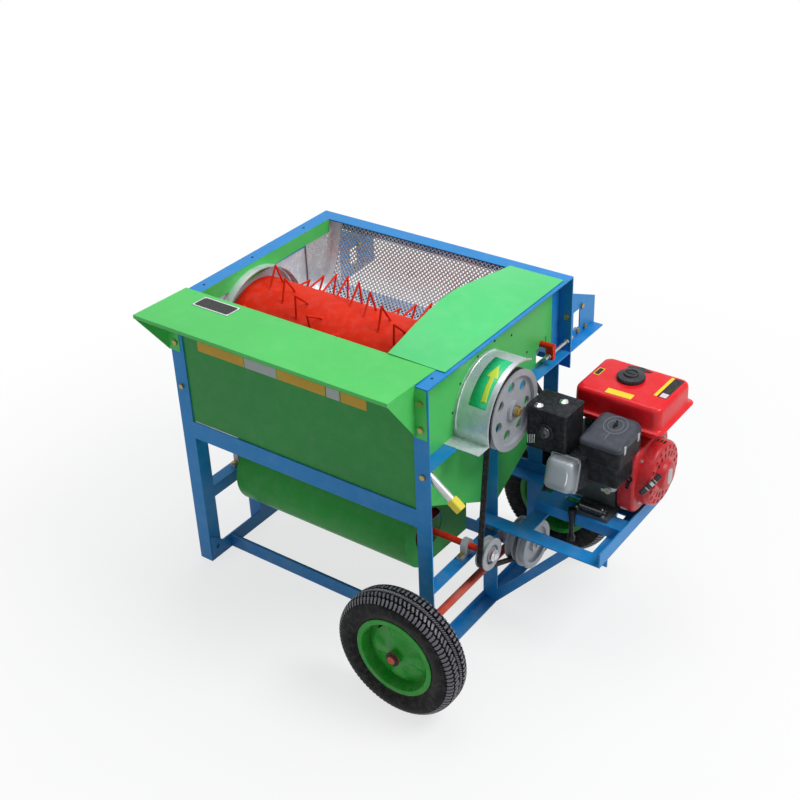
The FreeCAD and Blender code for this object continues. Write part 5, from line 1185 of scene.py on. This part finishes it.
class THRESHER_OT_carburettor(Operator):
    """Build the carburettor: body, float bowl, drain screw, spindle and lever pins"""

    bl_idname = "thresher.carburettor"
    bl_label = "Carburettor"

    def execute(self, context):
        body = soft_block(1112.5, 1150.0, 396.0, 439.0, 458.0, 489.0, 6.0, 3.0)
        neck = soft_block(1115.0, 1147.0, 399.0, 436.0, 478.0, 491.5, 4.0, 1.0)
        bowl = turned([(433.2, 0.0), (433.2, 11.0), (435.0, 16.0), (438.0, 18.0), (456.0, 18.6),
                       (456.6, 19.6), (459.5, 19.6), (459.5, 0.0)], "z", 1131.0, 417.5, 32)
        pads = [turned([(395.1, 3.2), (395.1, 8.0), (400.0, 8.0), (400.0, 3.2), (395.1, 3.2)], "y",
                       SPINDLE_X, z, 20) for z in SPINDLE_HEIGHTS]
        piece("carburettor_body", [body, neck, bowl] + pads, "frame", "engine_silver",
              ("carburettor",), crease=38.0)
        heads = [turned([(390.9, 0.0), (390.9, 4.4), (391.3, 4.8), (391.4, 2.9), (395.4, 2.9),
                         (395.4, 0.0)], "y", SPINDLE_X, z, 16) for z in SPINDLE_HEIGHTS]
        drain = hex_bolt("z", 1131.0, 417.5, 434.0, -1, 4.6, 5.5)
        piece("carburettor_brass", heads + drain, "frame", "brass_bolt")
        return {"FINISHED"}


class THRESHER_OT_starter(Operator):
    """Press the starter cover with its slots, plate and grip"""

    bl_idname = "thresher.starter"
    bl_label = "Starter cover"

    def execute(self, context):
        y, z = CRANK
        shroud = soft_block(1135.2, 1184.6, 440.4, 639.6, 345.4, 540.6, 42.0, 9.0, axis="x", steps=6)
        boss = carried(turned([(14.4, 0.0), (14.4, 7.6), (15.4, 8.9), (47.8, 8.9), (47.8, 0.0)], "x", 0.0,
                              0.0, 28), GRIP_SPOT, -GRIP_PULL)
        pin = turned([(436.6, 0.0), (436.6, 2.9), (441.0, 2.9), (441.0, 0.0)], "y", 1172.0, 469.0, 16)
        shapes = [shroud, boss, pin, self.dome_cover(context.scene.thresher_sizes.vent_slots)]
        piece("starter_cover", shapes, "frame", "shroud_red", ("recoil_cover",),
              crease=34.0)
        # Black blocks in the slots and the three vents: painted shade of their openings.
        slot_shades = []
        count = context.scene.thresher_sizes.vent_slots
        for k in range(count):
            turn = TURN * (k + 0.5) / count
            slot_shades.append(self.bar(52.5, 64.0, turn, 1219.4, 1220.2, 2.8))
            slot_shades.append(self.bar(72.5, 81.0, turn, 1218.0, 1219.0, 3.4))
        for k in range(3):
            x = 1190.0 + 9.5 * k
            slot_shades.append(tilted(soft_block(x, x + 4.6, y - 8.0, y + 8.0, z + 90.6, z + 92.3, 1.6, 0.4),
                                -8.0, y, z))
        piece("starter_slots", slot_shades, "frame", "slot_black")
        plate = soft_block(1237.6, 1239.4, y - 13.0, y + 13.0, z - 24.0, z + 24.0, 12.6, 0.8, axis="x")
        piece("starter_plate", [plate], "frame", "steel")
        bolts = []
        for k in range(4):
            turn = math.radians(45.0 + 90.0 * k)
            bolts += hex_bolt("x", y + 98.0 * math.cos(turn) * 0.93, z + 98.0 * math.sin(turn) * 0.93,
                              1184.2, 1, 4.6, 5.0)
        piece("starter_bolts", bolts, "frame", "steel")
        self.grip()
        return {"FINISHED"}

    def dome_cover(self, slots):
        """Round cover: its face falls away to the rim, and sinks where the slots are."""
        y, z = CRANK
        radius = np.array([0.0, 12.0, 24.0, 32.0, 37.0, 40.0, 42.0, 46.0, 49.0, 50.6, 51.0, 56.0, 62.0,
                           65.0, 65.6, 68.0, 70.6, 71.0, 76.0, 82.0, 82.6, 85.0, 88.0, 90.6, 91.8, 92.0,
                           92.0])
        face = np.array([1238.6, 1238.6, 1238.4, 1238.0, 1236.5, 1233.0, 1227.0, 1223.0, 1222.0, 1221.8,
                         1221.8, 1221.7, 1221.6, 1221.5, 1221.5, 1221.5, 1221.3, 1221.3, 1221.0, 1220.2,
                         1220.0, 1219.0, 1216.5, 1212.0, 1206.0, 1195.0, 1183.0])
        angle = np.linspace(0.0, TURN, slots * 12 + 1)[:, None]
        phase = angle * slots / TURN
        ringed = ((radius > 50.8) & (radius < 65.3)) | ((radius > 70.8) & (radius < 82.3))
        inside = (np.abs(phase - np.floor(phase) - 0.5) < 0.22) & ringed
        x = face - 3.0 * inside
        return sheet_of(np.stack([x, y + radius * np.cos(angle), z + radius * np.sin(angle)], -1))

    def bar(self, r0, r1, turn, x0, x1, half):
        """Painted shade in one slot: a small dark block turned to the slot's angle."""
        y, z = CRANK
        outline = np.array([(r0, -half), (r1, -half), (r1, half), (r0, half)])
        c, s = math.cos(turn), math.sin(turn)
        u = y + outline[:, 0] * c - outline[:, 1] * s
        v = z + outline[:, 0] * s + outline[:, 1] * c
        return slab(np.stack([u, v], -1), "x", x0 - 1.0, x1 - 1.0)

    def grip(self):
        """Starter grip: a bar with shallow rings, on the stem that the rope ends in."""
        along_bar = np.linspace(-35.4, 35.4, 73)
        radius = 7.9 - 0.7 * (np.abs(np.sin(along_bar * 0.55)) < 0.25) - 1.4 * (np.abs(along_bar) > 33.5)
        profile = np.vstack([[(-35.8, 0.0)], np.stack([along_bar, radius], -1), [(35.8, 0.0)]])
        bar = carried(turned(profile, "x", 0.0, 0.0, 24), GRIP_SPOT, GRIP_WAY)
        stem = carried(turned([(0.0, 0.0), (0.0, 4.9), (13.2, 4.9), (14.0, 4.2), (14.0, 0.0)], "x", 0.0,
                              0.0, 20), GRIP_SPOT, -GRIP_PULL)
        piece("starter_grip_bar", [bar, stem], "starter_grip", "cap_black",
              ("starter_handle",), crease=40.0)
        bands = [carried(turned([(w, 7.0), (w, 8.0), (w + wide, 8.0), (w + wide, 7.0), (w, 7.0)], "x",
                                0.0, 0.0, 24), GRIP_SPOT, GRIP_WAY)
                 for w, wide in ((-16.0, 2.2), (-8.0, 9.0), (13.0, 2.2))]
        piece("starter_grip_bands", bands, "starter_grip", "steel")


class THRESHER_OT_crankcase(Operator):
    """Add the side cover and its bolts, four foot bolts, an oil plug, a low pipe and a clamp stud"""

    bl_idname = "thresher.crankcase"
    bl_label = "Crankcase fittings"

    def execute(self, context):
        bolts = []
        for k in range(6):
            turn = TURN * (k + 0.5) / 6
            bolts += hex_bolt("x", SIDE_COVER_Y + 62.0 * math.cos(turn),
                              CRANK[1] + 62.0 * math.sin(turn), 975.0, -1, 4.6, 5.0)
        for x in (1042.0, 1118.0):
            bolts += hex_bolt("z", x, 408.0, 345.0, 1, 5.4, 5.5)
            bolts += hex_bolt("z", x, 596.0, 345.0, 1, 5.4, 5.5)
        piece("engine_bolts", bolts, "frame", "steel")
        cover = turned([(973.0, 30.0), (971.4, 34.0), (971.4, 72.0), (973.0, 74.5), (975.6, 75.0),
                        (975.6, 30.0), (973.0, 30.0)], "x", SIDE_COVER_Y, CRANK[1], 64)
        piece("side_cover", [cover], "frame", "engine_silver")
        plug = turned([(450.4, 0.0), (450.4, 9.0), (446.0, 9.0), (445.4, 12.5), (438.0, 12.5),
                       (437.0, 11.0), (437.0, 0.0)], "y", 1010.0, 372.0, 18)
        piece("oil_plugs", [plug], "frame", "cap_black")
        pipe = turned([(1050.0, 0.0), (1050.0, 11.0), (1051.5, 12.4), (1116.0, 12.4), (1118.0, 11.0),
                       (1118.0, 8.0), (1128.0, 8.0), (1128.0, 0.0)], "x", 411.0, 357.2, 32)
        piece("low_pipe", [pipe], "frame", "dome_grey")
        leg = np.array([(1037.0, 388.0, 352.0), (1037.0, 387.0, 345.0), (1037.5, 386.0, 322.0),
                        (1038.0, 385.0, 300.0), (1038.5, 384.0, 280.0), (1039.0, 383.0, 271.0),
                        (1039.0, 383.0, 262.0), (1039.0, 383.0, 252.0)])
        clamp = [swept(leg, [11.0, 11.5, 9.0, 7.0, 7.0, 7.0, 11.5, 10.5], 16)]
        piece("clamp_stud", clamp, "frame", "black_metal")
        return {"FINISHED"}


# Stage

class THRESHER_OT_stage(Operator):
    """Set the floor, the lamps and the camera at the photograph's angle"""

    bl_idname = "thresher.stage"
    bl_label = "Stage"

    def execute(self, context):
        scene = context.scene
        scene.view_settings.view_transform = "Standard"
        self.camera(scene)
        self.lamps(scene)
        self.floor()
        return {"FINISHED"}

    def camera(self, scene):
        """Camera from its heading, its height above the horizon and its roll."""
        heading, height, roll = (math.radians(v) for v in (36.82, 31.85, -2.40))
        back = Vector((math.sin(heading) * math.cos(height), -math.cos(heading) * math.cos(height),
                       math.sin(height)))
        right = (-back).cross(Vector((0.0, 0.0, 1.0))).normalized()
        up = right.cross(-back)
        turned_right = right * math.cos(roll) + up * math.sin(roll)
        turned_up = up * math.cos(roll) - right * math.sin(roll)
        data = bpy.data.cameras.new("Camera")
        data.sensor_width = 36.0
        data.lens = 60.05
        data.clip_end = 100.0
        camera = linked("Camera", data)
        basis = Matrix((turned_right, turned_up, back)).transposed().to_4x4()
        basis.translation = place((2393.66, -2170.5, 2492.69))
        camera.matrix_world = basis
        scene.camera = camera

    def lamps(self, scene):
        """Broad lamps: a key from the right and above, a fill from the front left, a top light."""
        for name, spot, size, power in (("Key", (3.0, 0.8, 4.4), 2.4, 160.0),
                                        ("Fill", (-2.6, -4.2, 2.6), 3.2, 18.0),
                                        ("Top", (-0.6, 0.8, 4.6), 3.0, 66.0)):
            data = bpy.data.lights.new(name, "AREA")
            data.shape = "DISK"
            data.size = size
            data.energy = power
            lamp = linked(name, data)
            lamp.location = spot
            aim = Vector((0.0, 0.0, 0.45)) - Vector(spot)
            lamp.rotation_euler = aim.to_track_quat("-Z", "Y").to_euler()
        world = bpy.data.worlds.new("World")
        scene.world = world
        world.use_nodes = True
        tree = world.node_tree
        light = tree.nodes["Background"]
        light.inputs["Color"].default_value = (0.93, 0.96, 1.0, 1.0)
        light.inputs["Strength"].default_value = 0.28
        seen = added(tree, "ShaderNodeBackground", {"Color": (1.0, 1.0, 1.0, 1.0), "Strength": 1.0})
        self.mix(tree, self.seen_rays(tree), light, seen, "World Output")

    def mix(self, tree, factor, first, second, outlet):
        """Joins two shaders, mixed by a factor, to the surface of the output."""
        both = added(tree, "ShaderNodeMixShader", {0: factor, 1: first.outputs[0], 2: second.outputs[0]})
        tree.links.new(both.outputs[0], tree.nodes[outlet].inputs["Surface"])

    def seen_rays(self, tree):
        """One for what the camera sees directly, in a mirror or through glass, else nothing."""
        path = added(tree, "ShaderNodeLightPath")
        last = path.outputs["Is Camera Ray"]
        for name in ("Is Glossy Ray", "Is Transmission Ray"):
            last = added(tree, "ShaderNodeMath", {0: last, 1: path.outputs[name]},
                         operation="MAXIMUM").outputs[0]
        return last

    def floor(self):
        """Pale floor: a disc far wider than the view, just under the machine's feet."""
        radius = np.array([0.001, 2.0, 8.0, 40.0])
        angle = np.linspace(0.0, TURN, 65)[:, None]
        rings = np.stack([radius * np.cos(angle), radius * np.sin(angle),
                          np.full((65, 4), -0.0004)], -1)
        points, faces = sheet_of(rings)
        mesh = bpy.data.meshes.new("floor")
        mesh.from_pydata(points.tolist(), [], faces.tolist())
        thing = linked("floor", mesh)
        material = bpy.data.materials.new("floor")
        material.use_nodes = True
        tree = material.node_tree
        shader = tree.nodes["Principled BSDF"]
        shader.inputs["Base Color"].default_value = (0.86, 0.86, 0.86, 1.0)
        shader.inputs["Roughness"].default_value = 0.9
        shader.inputs["Specular IOR Level"].default_value = 0.1
        glow = added(tree, "ShaderNodeEmission")
        where = added(tree, "ShaderNodeTexCoord")
        far = added(tree, "ShaderNodeVectorMath", {0: where.outputs["Object"]}, operation="LENGTH")
        fade = added(tree, "ShaderNodeMapRange", {"Value": far.outputs["Value"], "From Min": 0.7,
                                                  "From Max": 2.0, "To Min": 0.72, "To Max": 1.0})
        seen = added(tree, "ShaderNodeMath", {0: fade.outputs["Result"], 1: self.seen_rays(tree)},
                     operation="MULTIPLY")
        self.mix(tree, seen.outputs[0], shader, glow, "Material Output")
        mesh.materials.append(material)


class THRESHER_OT_finishes(Operator):
    """Paint every frame node that keeps its own shape"""

    bl_idname = "thresher.finishes"
    bl_label = "Finishes"

    def execute(self, context):
        coat_group()
        spangle_group()
        FINISH.update(make_finishes(context.scene.thresher_colours))
        for finish, names in NODE_FINISH.items():
            for name in names:
                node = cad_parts[name]
                if not node.material_slots:
                    node.data.materials.append(FINISH[finish])
                for material_slot in node.material_slots:
                    material_slot.material = FINISH[finish]
        return {"FINISHED"}


STEPS = [THRESHER_OT_stage, THRESHER_OT_finishes, THRESHER_OT_screens, THRESHER_OT_end_trims,
         THRESHER_OT_decals, THRESHER_OT_tyres, THRESHER_OT_rims, THRESHER_OT_drum_welds,
         THRESHER_OT_bearing_caps, THRESHER_OT_fasteners, THRESHER_OT_handles,
         THRESHER_OT_fuel_tank, THRESHER_OT_air_cleaner, THRESHER_OT_muffler,
         THRESHER_OT_valve_cover, THRESHER_OT_carburettor, THRESHER_OT_starter,
         THRESHER_OT_crankcase]


class THRESHER_PT_panel(Panel):
    """Sizes, colours and building steps of the thresher"""

    bl_idname = "THRESHER_PT_panel"
    bl_label = "Rice thresher"
    bl_space_type = "VIEW_3D"
    bl_region_type = "UI"
    bl_category = "Thresher"

    def draw(self, context):
        layout = self.layout
        for group in (context.scene.thresher_colours, context.scene.thresher_sizes):
            column = layout.column()
            for name in group.__annotations__:
                column.prop(group, name)
        for step in STEPS:
            layout.operator(step.bl_idname)


CLASSES = [ThresherColours, ThresherSizes, *STEPS, THRESHER_PT_panel]


def register():
    """Adds the classes and the scene's settings."""
    for made in CLASSES:
        bpy.utils.register_class(made)
    bpy.types.Scene.thresher_colours = PointerProperty(type=ThresherColours)
    bpy.types.Scene.thresher_sizes = PointerProperty(type=ThresherSizes)


def unregister():
    """Takes the settings and the classes away."""
    del bpy.types.Scene.thresher_sizes
    del bpy.types.Scene.thresher_colours
    for made in reversed(CLASSES):
        bpy.utils.unregister_class(made)


def main():
    """Builds everything in order."""
    register()
    for step in STEPS:
        group, name = step.bl_idname.split(".")
        getattr(getattr(bpy.ops, group), name)()


if __name__ == "__main__":
    main()
